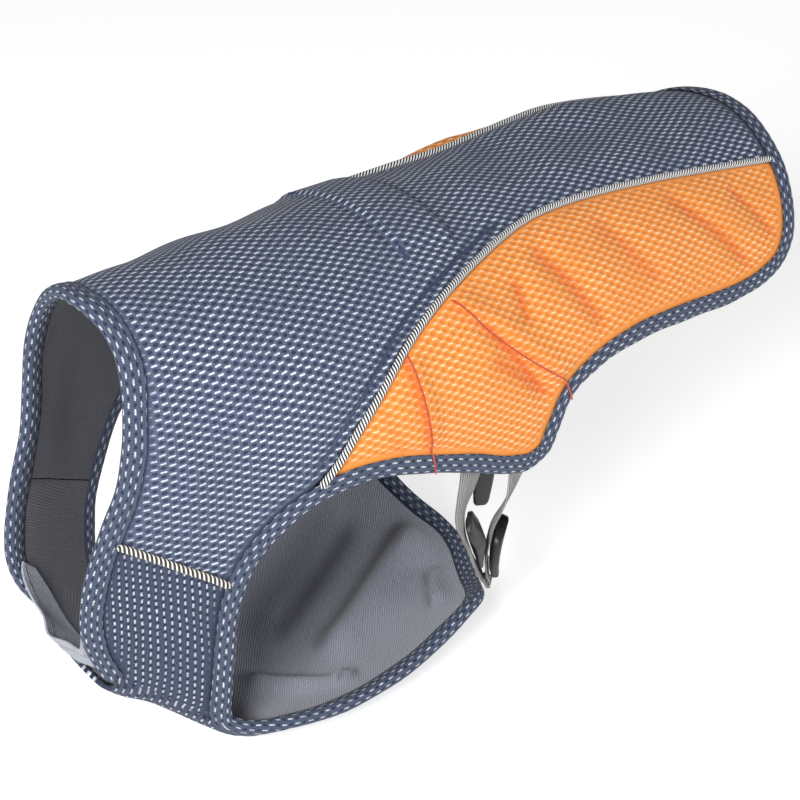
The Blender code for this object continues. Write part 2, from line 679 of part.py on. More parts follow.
# ---- linings -----------------------------------------------------------------------------------
inner = -SHELL - CORE_GAP
lower = joined(tape_up, leg_line, flank_line)
cut = np.linspace(0, 1, len(lower))
run = np.interp(cut, [0, N_TAPE / len(lower), (N_TAPE + N_LEG) / len(lower), 1],
                [collar_line[0, 0], -56, -16, tail_line[-1, 0]])
spine = np.stack([run, 0 * run], -1)
end_line = joined(rear_line, tail_line)[::2][::-1]
half = patch(spine, lower, collar_line, end_line)
whole = np.concatenate([mirrored(half)[:0:-1], half])
sheet("lining_body", [wall(tube, whole, inner, LINING)], GREY)
sheet("lining_chest", chest_walls(inner, LINING, fold_height("floor", block)), GREY)

# ---- bindings -----------------------------------------------------------------------------------
upper = np.unique(np.concatenate([down, leg, flank, rear, tail]))
under = np.unique(np.concatenate([side_edge[1:], rear_edge]))
left_rings = np.concatenate([plate.binding(under)[::-1], outer.binding(upper)])


right_rings = np.concatenate([outer.binding(upper, -1)[::-1][1:], plate.binding(under, -1)[:-1]])
rail("binding_outer", np.concatenate([left_rings, right_rings]), NAVY, closed=True)
loop = np.concatenate([collar, throat[1:]])
rail("binding_neck", np.concatenate([neck.binding(loop, -1)[::-1][:-1], neck.binding(loop)]), NAVY)

# ---- seams: round piping down the sides, reflective tape on the shoulders ---------------------
start = outer.at([meet_front[0]], IN)[0]
p0 = float(np.argmin(np.linalg.norm(piping.line - start, axis=1))) + PIPING_SKEW
p1 = p_rear - 2.2
p0 = max(p0, p_front + PIPING_SKEW)
along_pipe = np.concatenate([[p0], rope[(rope > p0 + 4) & (rope < p1 - 4)], [p1]])
along_tape = np.linspace(t_front + 1.2, t_rear - 1.2, N_TAPE + 1)
for side, label in ((1, "left"), (-1, "right")):
    turn = np.array([1.0, side])
    middle = piping.at(along_pipe) * turn
    points = lifted(tube, middle, PIPING_RISE)
    out = normal(tube, middle[:, 0], middle[:, 1])
    across = unit(np.cross(out, np.gradient(points, axis=0)))
    angle = np.linspace(0, 2 * math.pi, PIPING_SIDES, endpoint=False)[None, :, None]
    rail("piping_" + label,
         points[:, None] + PIPING_RADIUS * (np.cos(angle) * out[:, None]
                                            + np.sin(angle) * across[:, None]), CORD)
    sides = [lifted(tube, tape.at(along_tape, by) * turn, lift)
             for by, lift in ((-TAPE_WIDTH / 2, 0.4), (-TAPE_WIDTH / 2 + 0.5, 0.4 + TAPE_THICK),
                              (TAPE_WIDTH / 2 - 0.5, 0.4 + TAPE_THICK), (TAPE_WIDTH / 2, 0.4))]
    rail("shoulder_tape_" + label, np.stack(sides, 1), CORD)

# ---- band across the back, with its bar tacks ------------------------------------------------
rows = np.linspace(-FLAP_HALF, FLAP_HALF, 13)
columns = np.linspace(*FLAP_X, 4)
band = np.stack(np.meshgrid(columns, rows), -1)
sheet("back_band", [wall(tube, band, 0.5 + FLAP_THICK, FLAP_THICK)], NAVY)
for x, d in TACKS:
    for side, label in ((1, "left"), (-1, "right")):
        a, b = TACK_SIZE[0] / 2, TACK_SIZE[1] / 2
        corners = np.array([(x - a, d - b), (x + a, d - b), (x + a, d + b), (x - a, d + b)])
        low = lifted(tube, corners * np.array([1.0, side]), 0.8 + FLAP_THICK)
        high = lifted(tube, corners * np.array([1.0, side]), 0.8 + FLAP_THICK + TACK_SIZE[2])
        place = "front" if x < 60 else "rear"
        rail("bar_tack_%s_%s" % (place, label), [low, high], NAVY, smooth=False)

# ---- stretch gusset in the throat ---------------------------------------------------------------
c = np.linspace(-GUSSET_HALF, GUSSET_HALF, 15)[:, None]
share = np.linspace(0, 1, 5)[None, :]
edge_x = GUSSET_X[0] + 4.0 * (c / GUSSET_HALF)**4
sewn_x = GUSSET_X[1] - 9.0 * (np.abs(c) / GUSSET_HALF)**3
gusset = np.stack([edge_x * (1 - share) + sewn_x * share, c + 0 * share], -1)
lift = GUSSET_LIFT + fold_height("gusset", gusset) * ease((0.85 - share) / 0.35)
outer_side, inner_side = lifted(hoop, gusset, lift), lifted(hoop, gusset, lift - GUSSET_THICK)
sheet("throat_gusset", [(outer_side, inner_side)], PALE)

# ---- belly straps: loop of webbing, anchor tab, plug, slider and socket ---------------------------
strap = np.array(STRAP, float)
path = curve(strap, 4.5)
turned = unit(np.array(TOWARDS))


def slab_ring(centre, across, deep, wide, thick):
    """Ring of a bar with cut corners."""
    r = min(1.0, thick * 0.3)
    marks = [(1, -1, 0), (1, 1, 0), (1, 1, 1), (-1, 1, 1), (-1, 1, 0), (-1, -1, 0),
             (-1, -1, 1), (1, -1, 1)]
    return [centre + across * sx * (wide / 2 - (r if k else 0))
            + deep * sy * (thick / 2 - (0 if k else r)) for sx, sy, k in marks]


def plug_rings(ends):
    """Tapered bar along a straight axis, its thickness seen across the strap's loop."""
    a, b, t0, w0, t1, w1 = ends
    a, b = np.array(a), np.array(b)
    axis = unit(b - a)
    wide = unit(turned - axis * (turned @ axis))
    thin = np.cross(axis, wide)
    reach = np.linalg.norm(b - a)
    return np.array([slab_ring(a + (b - a) * t, wide, thin, (w0 + (w1 - w0) * t) * scale,
                               (t0 + (t1 - t0) * t) * scale)
                     for t, scale in ((0, 0.8), (1 / reach, 1), (1 - 1 / reach, 1), (1, 0.8))])


def along_web(ends, start, middle, end, climb, outside):
    """Bar lying on the webbing between two levels, on the loop's outside or inside."""
    stretch = path[:turn_back] if climb < 0 else path[turn_back:]
    faces = face[:turn_back] if climb < 0 else face[turn_back:]
    widths = width[:turn_back] if climb < 0 else width[turn_back:]
    rings = []
    share = (stretch[:, 2] - ends[0]) / (ends[1] - ends[0])
    inside = [k for k in range(len(stretch)) if 0 <= share[k] <= 1]
    for k in inside:
        at, n, w, t = stretch[k, :3], faces[k], widths[k], share[k]
        scale = 0.7 if k in (inside[0], inside[-1]) else 1.0
        thick, wide = (np.interp(t, [0, 0.45, 1], [r[c] for r in (start, middle, end)])
                       for c in (0, 1))
        room = WEB_THICK / 2 + SEAM + 0.75
        rings.append(slab_ring(at + unit(n) * outside * (room + thick / 2), unit(w), unit(n),
                               wide * scale, thick * (1 + scale) / 2))
    return np.array(rings)


turn = path[:, 3:4]
width = unit((1 - turn) * np.array([-1.0, 0.0, 0.0]) + turn * turned)
ahead = unit(np.gradient(path[:, :3], axis=0))
width = unit(width - ahead * (width * ahead).sum(1, keepdims=True))
face = np.cross(ahead, width)
turn_back = int(np.argmin(path[:, 2]))
web = band_rings(path[:, :3], width, face, WEB_WIDTH, WEB_THICK)
for side, label in ((1, "left"), (-1, "right")):
    rail("strap_web_" + label, on_side(web, side), PALE)
    tab = curve(TAB, 5.0)
    low = lifted(floor, tab[:, :2] * np.array([1.0, side]), tab[:, 2])
    out = normal(floor, tab[:, 0], tab[:, 1] * side)
    reach = unit(np.cross(out, np.gradient(low, axis=0)))
    rail("strap_tab_" + label, band_rings(low, reach, out, TAB_WIDTH, 1.2), PALE)
    for name, rings in (("buckle_socket_", along_web(*SOCKET, 1.0, 1.0)),
                        ("buckle_slider_", along_web(*SLIDER, -1.0, -1.0)),
                        ("buckle_plug_", plug_rings(PLUG))):
        rail(name + label, on_side(rings, side), BLACK, roughness=0.35)
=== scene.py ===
"""Dressed model of a hollow dog cooling vest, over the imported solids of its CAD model.

Sizes are millimetres until a mesh is made. The vest stands as it is worn: x runs to the
tail, z up, the vest's left side is on -y. A place on the cloth is (x, d) with d the distance
from the spine, or (x, y) on the belly part.
"""
import logging
import math
from collections.abc import Callable
from dataclasses import dataclass
from enum import Enum

import bmesh
import bpy
import numpy as np
from mathutils import Matrix, Vector


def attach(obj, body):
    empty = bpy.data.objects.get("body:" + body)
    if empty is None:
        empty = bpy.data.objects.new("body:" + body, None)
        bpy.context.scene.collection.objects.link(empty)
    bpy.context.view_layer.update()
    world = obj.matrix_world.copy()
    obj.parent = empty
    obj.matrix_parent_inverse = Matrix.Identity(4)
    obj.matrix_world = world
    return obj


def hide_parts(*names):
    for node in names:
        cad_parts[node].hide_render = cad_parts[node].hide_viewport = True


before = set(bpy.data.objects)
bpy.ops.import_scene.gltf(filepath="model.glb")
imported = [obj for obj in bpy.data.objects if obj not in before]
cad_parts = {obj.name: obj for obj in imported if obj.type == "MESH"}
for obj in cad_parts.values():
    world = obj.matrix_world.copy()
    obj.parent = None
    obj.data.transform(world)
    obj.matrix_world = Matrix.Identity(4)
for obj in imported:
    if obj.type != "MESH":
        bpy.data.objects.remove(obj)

logging.basicConfig(level=logging.INFO, format="%(levelname)s %(message)s")
LOG = logging.getLogger("vest")
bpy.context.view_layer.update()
MM = 0.001
Values = float | np.ndarray
Rows = list | tuple | np.ndarray
Socket = bpy.types.NodeSocket

# ---- the worn form, the same tables as the CAD model -------------------------------------
# x, top, level of the widest place, keel, half width, power of upper and lower half
SECTIONS = np.array([
    (-138, 11, -52, -141, 27, 2.5, 4.5), (-124, 10, -52, -166, 32, 2.5, 4.5),
    (-111, 9, -53, -181, 36, 2.5, 4.8), (-95, 8, -57, -190, 43, 2.4, 5.2),
    (-78, 7, -61, -200, 51, 2.3, 6.0), (-60, 6.5, -64, -209, 58, 2.2, 7.5),
    (-30, 5.9, -68, -214, 69, 2.1, 7.5), (10, 3.8, -72, -218, 76, 2.0, 6.0),
    (50, 0.4, -75, -213, 79, 2.0, 4.5), (85, -3, -77, -207, 79, 2.0, 4.5),
    (115, -5, -78, -203, 79, 2.0, 4.5), (200, -12, -82, -187, 74, 2.0, 3.5),
    (312, -20, -87, -172, 65, 2.0, 3.0),
], float)
# belly plate: x, half width, keel, rise of its sides, power of the rise
DISH = np.array([
    (-66, 56, -206, 15, 3.2), (-42, 63, -212, 17, 2.6), (-20, 68, -216, 20, 2.2),
    (0, 70, -218, 22, 2.0), (37, 69, -216, 23, 2.0), (60, 66, -212, 24, 2.1),
    (80, 62, -208, 24, 2.3), (120, 62, -203, 23, 2.3),
], float)
DISH_FROM, DISH_FULL = -68.0, -40.0
# askew hang of the belly part: x, shift along x and along z per mm of y
LEAN = np.array([(-138, 0.0, 0.28), (-60, 0.0, 0.20), (0, 0.10, 0.15), (80, 0.20, 0.15),
                 (312, 0.20, 0.15)], float)
LEAN_FROM, LEAN_OVER = -112.0, 65.0
# the cloth of the back lies a little higher or lower on its right half: x, rise
SWAY = np.array([
    (-138, -3.0), (-103, -3.0), (-69, -4.0), (-37, -4.5), (-4, -4.5), (15, -3.0),
    (32, -1.5), (60, -0.5), (100, 0.5), (135, 2.0), (157, 5.0), (175, 7.5), (195, 9.5),
    (215, 9.0), (235, 7.5), (255, 5.5), (275, 3.0), (292, 1.0), (312, 0.0),
], float)
SWAY_SIDE, SWAY_LEVEL = (0.0, 32.0), (-90.0, 60.0)   # y and z where it starts, and its reach
# the front of the chest part is drawn up
DRAWN, DRAWN_AHEAD, DRAWN_UNDER = 7.0, (-58.0, 45.0), (-95.0, 70.0)

# ---- edges and seams of the left half ------------------------------------------------------
NECK_EDGE = [  # x, z from the spine down to the end of the neck binding
    (-103.8, 8.6), (-102.5, 4), (-102, -6), (-103, -18), (-105, -32), (-107, -50),
    (-111, -69), (-117, -84), (-123, -100), (-127, -118), (-128, -134), (-125, -150),
    (-118, -165),
]
OUTER_EDGE = [  # x, z up the leg opening's front, over it, round the flank lobe, to the tail
    (-68, -189.5), (-69.5, -182), (-69.5, -172), (-68, -153), (-64.5, -132), (-56.5, -114),
    (-46, -101), (-34, -92), (-17, -87), (3, -88), (24, -94), (48, -103), (68, -112),
    (84, -116), (95, -112), (102, -100), (109.5, -87), (126, -79), (153, -76), (190, -79),
    (228, -83), (247, -82), (262, -77), (271, -68), (276.5, -57), (281, -44), (285, -32.5),
    (288, -24.5), (290.5, -20), (292, -18.6),
]
TAPE_SEAM = [(-130, -82), (-117, -89), (-101, -99.5), (-85, -111), (-68, -122.5), (-48, -137)]
PIPING = [  # x, distance from the spine
    (-42, 137), (-24, 121), (-12, 106.5), (1, 94.5), (19, 80), (39, 68.3), (55, 61),
    (71, 54.4), (94, 46.3), (118, 40.5), (141, 38.5), (164, 38.3), (197, 39.8), (241, 44),
    (270, 47), (300, 50),
]
PLATE_START = [(-68, -189.5), (-65, -190.6), (-60.5, -192.0), (-54, -193.4), (-46, -194.6)]
PLATE_EDGE = [  # x, y of the belly plate on from there, round its corner to the middle
    (-33, 65), (-11, 69.5), (15, 70.5), (37, 70), (57, 68.5), (70, 66.8), (80.5, 64),
    (88.5, 58.5), (94.5, 49.5), (100, 37), (105, 24), (109.6, 11), (111, 0), (109.6, -11),
]
PLATE_CORNER, PLATE_REAR = (86.0, 61.0), (111, 0)
LOBE_END, FLANK_CORNER = (190, -79), (265, -75)   # x, z on the outer edge
HAIR = 0.7                                    # stations left free beside a seam's end

# ---- folds, grooves and trims --------------------------------------------------------------
# panel, x and d of both ends, half width, height, steepness of the lower side, painted shade of
# the trough
FOLDS = [
    ("side", 19, 80, 26, 128, 5.0, 1.8, 1.2, 0.7),
    ("side", 50, 64, 104, 116, 7.0, 2.0, 1.2, 0.35),
    ("side", 62, 79, 93, 123, 4.5, -1.7, 0.0, 0.8),
    ("side", 90, 66, 88, 86, 6.0, -1.4, 0.0, 0.6),
    ("side", 108, 56, 131, 98, 8.0, -1.8, 0.3, 0.5),
    ("side", 150, 52, 172, 88, 9.0, -1.2, 0.0, 0.35),
    ("side", 200, 52, 236, 94, 7.0, -1.4, 0.2, 0.5),
    ("side", 240, 56, 258, 84, 5.0, -1.1, 0.0, 0.5),
    ("side", 8, 98, 18, 130, 7.0, 1.0, 0.0, 0.2),
    ("side", 64, 98, 96, 124, 7.0, -1.2, 0.0, 0.5),
    ("back", -60, 60, -20, 96, 16.0, 0.9, 0.0, 0.0),
    ("back", 84, 20, 130, 34, 12.0, -0.8, 0.0, 0.0),
    ("back", 150, 10, 215, 30, 14.0, 0.8, 0.0, 0.0),
    ("back", -90, 36, -66, 88, 10.0, -0.8, 0.0, 0.0),
    ("gusset", -132, -2, -104, 8, 7.0, 4.5, 0.0, 0.0),
    ("floor", -8, -10, 62, -42, 13.0, 5.5, 0.5, 0.7),
    ("floor", 94, -14, 15, 22, 12.0, 7.0, 0.8, 0.9),
    ("floor", 84, 16, 72, 40, 6.5, 5.5, 1.5, 0.9),
    ("floor", 8, 52, -35, 18, 8.0, 4.0, 1.0, 0.7),
    ("floor", 0, 47, 10, 51, 3.5, 2.2, 0.5, 0.5),
    ("floor", -46, -20, -30, 24, 9.0, 1.6, 0.0, 0.0),
]
SHELL, CORE_GAP, LINING = 2.2, 1.4, 0.8
DEPTH = SHELL + CORE_GAP + LINING            # mm from the form in to the lining's face
BINDING_WIDTH, SEAM = 9.5, 0.3
IN = BINDING_WIDTH - 1.7                      # the cloth's edge lies this far in, under its fold
CHANNEL, CHANNEL_END = 6.6, 98.0              # quilting line above the piping, and its last x
FAR_PUFF = 3.0                                # fullness of the far flank
PIPING_RADIUS, PIPING_RISE, TAPE_WIDTH, TAPE_RISE = 1.6, 0.3, 3.4, 0.55
CORNER_ROOM = 1.0
CHEST_FRONT_BOW, CHEST_X, CHEST_TURN = 3.0, -68.0, 12.0
JOIN = 0.6                                    # mm within which parts of one piece are joined
DARTS = [  # x, d of the sewn lines of the two darts
    [(19, 81), (20, 93), (21.5, 105), (23, 117), (25, 131)],
    [(51.5, 66.5), (63.5, 82), (77, 96.5), (90, 108), (103, 118)],
]
DART_FEET = [(26.6, -95.2), (108.0, -89.0)]   # x, z where their seams reach the edge
GUSSET_X, GUSSET_HALF, GUSSET_LIFT, GUSSET_THICK = (-128.5, -109.0), 52.0, -6.2, 0.9
FLAP_X, FLAP_HALF, BAND_RISE = (38.0, 76.0), 43.0, 2.3
TACKS, TACK_SIZE = [(42.5, 39.0), (72.5, 37.5)], (1.9, 7.0, 0.8)
WEB_WIDTH, WEB_THICK = 14.0, 1.4
STRAP = [  # x, y, z and turn of the webbing's width, left side
    (54.0, -72.4, -88.0, 0.0), (54.0, -72.4, -98.0, 0.0), (54.2, -71.2, -107.4, 0.1),
    (56.1, -66.9, -122.0, 0.4), (58.3, -64.1, -131.0, 0.6), (65.2, -60.4, -142.7, 0.85),
    (75.0, -56.3, -155.8, 1.0), (85.0, -52.3, -169.5, 1.0), (91.6, -50.4, -179.0, 1.0),
    (94.6, -49.6, -182.6, 1.0), (96.6, -49.8, -180.6, 1.0), (95.2, -51.0, -176.5, 1.0),
    (93.4, -52.1, -171.0, 1.0), (91.0, -54.2, -163.0, 1.0), (89.2, -57.6, -150.0, 1.0),
    (90.0, -60.9, -141.0, 0.95), (90.9, -63.2, -133.8, 0.75), (89.3, -66.2, -124.5, 0.4),
    (85.6, -70.2, -112.0, 0.1), (83.6, -72.4, -100.0, 0.0), (83.2, -72.4, -88.0, 0.0),
]
VIEW = ((0.7547, -0.6561, 0.0), (0.3379, 0.3887, 0.8572), (-0.5624, -0.6469, 0.5150))
TOWARDS = VIEW[2]                             # the photograph's right, up and towards the eye
TAB = [  # x, y and level on the belly plate
    (64, 44.5, 1.9), (76, 44.5, 1.9), (85, 44.5, 2.0), (93, 44.5, 1.8),
]
TAB_WIDTH = 11.0
# levels of both ends, then thickness and width at the ends and in the middle
SLIDER = ((-138.0, -168.0), (2.4, 9.0), (7.0, 14.0), (2.0, 12.0))
SOCKET = ((-176.5, -149.0), (4.6, 14.0), (5.6, 15.0), (5.4, 17.0))
# both ends, then thickness and width at each
PLUG = ((65.6, -66.4, -107.0), (71.6, -62.2, -133.0), 12.0, 4.6, 7.0, 4.6)


class Side(Enum):
    """Side of the vest, with the sign of its distance from the spine."""

    LEFT = 1
    RIGHT = -1

    @property
    def label(self) -> str:
        """Name used in objects and nodes."""
        return self.name.lower()

    @property
    def turn(self) -> np.ndarray:
        """Factors that carry a left side place to this side."""
        return np.array([1.0, float(self.value)])


def through(table: np.ndarray, column: int, x: Values) -> np.ndarray:
    """Reads a smooth curve through a table's rows.

    Args:
        table: rows with the position in the first column.
        column: column to read.
        x: positions.

    Returns:
        The values at x.
    """
    xs, ys = table[:, 0], table[:, column]
    x = np.clip(np.asarray(x, float), xs[0], xs[-1])
    slope = np.gradient(ys, xs)
    i = np.clip(np.searchsorted(xs, x, side="right") - 1, 0, len(xs) - 2)
    h = xs[i + 1] - xs[i]
    t = (x - xs[i]) / h
    return ((2 * t**3 - 3 * t**2 + 1) * ys[i] + (t**3 - 2 * t**2 + t) * h * slope[i]
            + (-2 * t**3 + 3 * t**2) * ys[i + 1] + (t**3 - t**2) * h * slope[i + 1])


def ease(t: Values) -> np.ndarray:
    """Smooth step from 0 to 1."""
    t = np.clip(t, 0, 1)
    return t * t * (3 - 2 * t)


def bell(gap: Values, wide: Values) -> np.ndarray:
    """Bell curve over a gap, one where it is nil, for grooves and swells."""
    return np.exp(-(gap / wide)**2)


def unit(v: np.ndarray) -> np.ndarray:
    """Vectors of length one."""
    return v / np.maximum(np.linalg.norm(v, axis=-1, keepdims=True), 1e-9)


def curve(rows: Rows, step: float = 0.5) -> np.ndarray:
    """Dense smooth line through rows of any width."""
    rows = np.array(rows, float)
    run = np.concatenate([[0], np.cumsum(np.linalg.norm(np.diff(rows, axis=0), axis=1))])
    table = np.column_stack([run, rows])
    at = np.linspace(0, run[-1], max(int(run[-1] / step), 4))
    return np.stack([through(table, k, at) for k in range(1, table.shape[1])], -1)


def run_length(points: np.ndarray) -> np.ndarray:
    """Distance along a line of points."""
    return np.concatenate([[0], np.cumsum(np.linalg.norm(np.diff(points, axis=0), axis=1))])


class VestForm:
    """The upright tube and its askew hang."""

    def __init__(self, samples: int = 361) -> None:
        """Args:
            samples: points of a half section.
        """
        self.samples = samples
        self.stations = np.arange(-138.0, 313.0, 1.0)
        self.widths, self.levels, self.girths = self._sections(self.stations)
        self.tube = Surface(self, self.bare, -1.0)
        self.hoop = Surface(self, self.hoop_bare, 1.0)
        self.floor = Surface(self, self.floor_bare, 1.0)

    def _sections(self, x: np.ndarray) -> tuple[np.ndarray, np.ndarray, np.ndarray]:
        """Half outlines of the tube.

        Args:
            x: the stations.

        Returns:
            Widths and levels of even points along each, and each one's whole length.
        """
        top, wide, keel, half, up, down = (through(SECTIONS, k, x)[:, None]
                                           for k in range(1, 7))
        angle = np.linspace(0.0, math.pi, 4 * self.samples)[None, :]
        s, c = np.abs(np.sin(angle)), np.cos(angle)
        power = np.where(c >= 0, up, down)
        reach = np.where(c >= 0, top - wide, wide - keel)
        r = ((s / half)**power + (np.abs(c) / reach)**power)**(-1.0 / power)
        y, z = r * s, wide + r * c
        arc = np.concatenate([np.zeros((len(x), 1)),
                              np.cumsum(np.hypot(np.diff(y), np.diff(z)), axis=1)], axis=1)
        share = np.linspace(0, 1, self.samples)
        even = [np.array([np.interp(share * a[-1], a, v) for a, v in zip(arc, w)])
                for w in (y, z)]
        return even[0], even[1], arc[:, -1]

    def half_girth(self, x: Values) -> np.ndarray:
        """Distance along the cloth from spine to keel at x."""
        return np.interp(x, self.stations, self.girths)

    def bare(self, x: Values, d: Values) -> np.ndarray:
        """Point of the upright tube at x and the distance d from the spine."""
        x, d = np.broadcast_arrays(np.asarray(x, float), np.asarray(d, float))
        place = np.clip(x - self.stations[0], 0, len(self.stations) - 1.001)
        i = place.astype(int)
        t = place - i
        share = np.clip(np.abs(d) / self.half_girth(x), 0, 1) * (self.samples - 1)
        j = np.minimum(share.astype(int), self.samples - 2)
        s = share - j
        parts = []
        for grid in (self.widths, self.levels):
            near = grid[i, j] * (1 - s) + grid[i, j + 1] * s
            far = grid[i + 1, j] * (1 - s) + grid[i + 1, j + 1] * s
            parts.append(near * (1 - t) + far * t)
        return np.stack([x, -np.where(d >= 0, 1.0, -1.0) * parts[0], parts[1]], -1)

    def hoop_bare(self, x: Values, c: Values) -> np.ndarray:
        """Point of the upright tube at x and the distance c from the keel line."""
        c = np.asarray(c, float)
        return self.bare(x, np.where(c >= 0, 1.0, -1.0) * (self.half_girth(x) - np.abs(c)))

    @staticmethod
    def floor_bare(x: Values, y: Values) -> np.ndarray:
        """Point of the upright belly part at x and y, y positive on the left side."""
        x, y = np.broadcast_arrays(np.asarray(x, float), np.asarray(y, float))
        wide, keel, half, power = (through(SECTIONS, k, x) for k in (2, 3, 4, 6))
        share = np.clip(np.abs(y) / half, 0, 0.9999)**power
        round_z = wide - (wide - keel) * (1 - share)**(1 / power)
        width, low, rise, bend = (through(DISH, k, x) for k in range(1, 5))
        dish_z = low + rise * (np.abs(y) / width)**bend
        t = ease((x - DISH_FROM) / (DISH_FULL - DISH_FROM))
        return np.stack([x, -y, round_z * (1 - t) + dish_z * t], -1)

    @staticmethod
    def lean(points: np.ndarray) -> np.ndarray:
        """Points with the askew hang of the belly part and the uneven lie of the back."""
        p = np.array(points, float)
        t = ease((LEAN_FROM - p[..., 2]) / LEAN_OVER)
        x, y = p[..., 0].copy(), p[..., 1]
        p[..., 0] += through(LEAN, 1, x) * y * t
        p[..., 2] += through(LEAN, 2, x) * y * t
        z = p[..., 2].copy()
        p[..., 2] += (through(SWAY, 1, x) * ease((y - SWAY_SIDE[0]) / SWAY_SIDE[1])
                      * ease((z - SWAY_LEVEL[0]) / SWAY_LEVEL[1]))
        p[..., 2] += (DRAWN * ease((DRAWN_AHEAD[0] - x) / DRAWN_AHEAD[1])
                      * ease((DRAWN_UNDER[0] - z) / DRAWN_UNDER[1]))
        return p

    def on_side(self, points: np.ndarray, side: Side) -> np.ndarray:
        """Left side points carried to a side and hung askew."""
        return self.lean(points * np.array([1.0, side.value, 1.0]))

    def from_side(self, rows: Rows) -> np.ndarray:
        """Rows of x, z as rows of x, d."""
        rows = np.array(rows, float)
        i = np.clip(rows[:, 0] - self.stations[0], 0, len(self.stations) - 1.001)
        share, out = np.linspace(0, 1, self.samples), []
        for n, t, level in zip(i.astype(int), i - i.astype(int), rows[:, 1]):
            row = self.levels[n] * (1 - t) + self.levels[n + 1] * t
            girth = self.girths[n] * (1 - t) + self.girths[n + 1] * t
            out.append(np.interp(-level, -row, share) * girth)
        return np.stack([rows[:, 0], np.array(out)], -1)

    def at_height(self, rows: Rows) -> list[tuple[float, float]]:
        """Rows of x, z on the belly part as rows of x, y."""
        share, out = np.linspace(0, 0.9999, 1600), []
        for x, z in rows:
            y = share * through(SECTIONS, 4, x)
            out.append((x, np.interp(z, self.floor_bare(np.full(y.shape, x), y)[:, 2], y)))
        return out

    def to_floor(self, places: np.ndarray) -> np.ndarray:
        """Places of the tube as x, y of the belly part."""
        return self.bare(places[:, 0], places[:, 1])[:, :2] * np.array([1.0, -1.0])


class Surface:
    """One way to name places on the form."""

    def __init__(self, form: VestForm, upright: Callable, outward: float) -> None:
        """Args:
            form: the form it lies on.
            upright: function of two coordinates giving upright points.
            outward: sign that turns the coordinates' cross product outward.
        """
        self.form, self.upright, self.outward = form, upright, outward

    def points(self, u: Values, v: Values) -> np.ndarray:
        """Points of the hung form."""
        return self.form.lean(self.upright(u, v))

    @staticmethod
    def _tangents(at: Callable, u: Values, v: Values,
                  step: float = 0.75) -> tuple[np.ndarray, np.ndarray]:
        """Derivatives of a surface's points along both coordinates."""
        return ((at(u + step, v) - at(u - step, v)) / (2 * step),
                (at(u, v + step) - at(u, v - step)) / (2 * step))

    def _normal(self, at: Callable, u: Values, v: Values) -> np.ndarray:
        """Outward unit normals of a surface that at gives the points of."""
        along, across = self._tangents(at, u, v)
        return unit(np.cross(along, across) * self.outward)

    def normal(self, places: np.ndarray) -> np.ndarray:
        """Outward normals of the hung form at places."""
        return self._normal(self.points, places[..., 0], places[..., 1])

    def lifted(self, places: np.ndarray, lift: Values = 0.0) -> np.ndarray:
        """Points over places, moved out of the cloth by lift."""
        u, v = places[..., 0], places[..., 1]
        return (self.points(u, v)
                + self.normal(places) * (np.zeros(u.shape) + lift)[..., None])

    def inset(self, line: np.ndarray, by: float) -> np.ndarray:
        """Moves a line of places sideways in the cloth.

        Args:
            line: its places.
            by: distance, mm, positive to the left of its run.

        Returns:
            The moved places.
        """
        steps = max(1, int(math.ceil(abs(by) / 1.2)))
        for _ in range(steps):
            along, across = self._tangents(self.upright, line[:, 0], line[:, 1])
            run = np.gradient(line, axis=0)
            ahead = along * run[:, :1] + across * run[:, 1:]
            side = np.cross(self._normal(self.upright, line[:, 0], line[:, 1]), ahead)
            side = unit(side)
            e, f, g = ((a * b).sum(1) for a, b in ((along, along), (along, across),
                                                   (across, across)))
            p, q = (along * side).sum(1), (across * side).sum(1)
            det = e * g - f * f
            line = line + by / steps * np.stack([(g * p - f * q) / det,
                                                 (e * q - f * p) / det], -1)
        return line


class Line:
    """A dense line on a surface, read at fractional indices."""

    def __init__(self, surface: Surface, rows: Rows, inward: float = 1.0) -> None:
        """Args:
            surface: surface it lies on.
            rows: its places.
            inward: sign of the side that the panel lies on.
        """
        self.surface, self.line, self.inward = surface, curve(rows), inward
        self._moved = {0.0: self.line}

    def moved(self, by: float) -> np.ndarray:
        """The whole line moved inward."""
        if by not in self._moved:
            self._moved[by] = self.surface.inset(self.line, by * self.inward)
        return self._moved[by]

    def at(self, stations: Rows, by: float = 0.0) -> np.ndarray:
        """Places at stations of the line moved inward."""
        line = self.moved(by)
        k = np.arange(len(line))
        return np.stack([np.interp(stations, k, line[:, c]) for c in (0, 1)], -1)

    def nearest(self, place: Rows) -> float:
        """Station nearest to a place."""
        return float(np.argmin(np.linalg.norm(self.line - np.array(place), axis=1)))


def meeting(a: np.ndarray, b: np.ndarray) -> tuple[float, float]:
    """Fractional indices where line a first crosses line b."""
    p, r = a[:-1], np.diff(a, axis=0)
    q, s = b[:-1], np.diff(b, axis=0)
    for i in range(len(p)):
        den = r[i, 0] * s[:, 1] - r[i, 1] * s[:, 0]
        den = np.where(np.abs(den) < 1e-12, 1e-12, den)
        w = q - p[i]
        t = (w[:, 0] * s[:, 1] - w[:, 1] * s[:, 0]) / den
        u = (w[:, 0] * r[i, 1] - w[:, 1] * r[i, 0]) / den
        hit = np.nonzero((t >= 0) & (t < 1) & (u >= 0) & (u < 1))[0]
        if len(hit):
            return i + t[hit[0]], hit[0] + u[hit[0]]
    raise ValueError("lines do not meet")


def patch(top: np.ndarray, bottom: np.ndarray, front: np.ndarray,
          rear: np.ndarray) -> np.ndarray:
    """Places between four border lines, rows from top to bottom."""
    u = np.linspace(0, 1, len(top))[None, :, None]
    v = np.linspace(0, 1, len(front))[:, None, None]
    ruled = (1 - v) * top[None] + v * bottom[None] + (1 - u) * front[:, None] + u * rear[:, None]
    corner = ((1 - u) * (1 - v) * top[0] + u * (1 - v) * top[-1]
              + (1 - u) * v * bottom[0] + u * v * bottom[-1])
    return ruled - corner


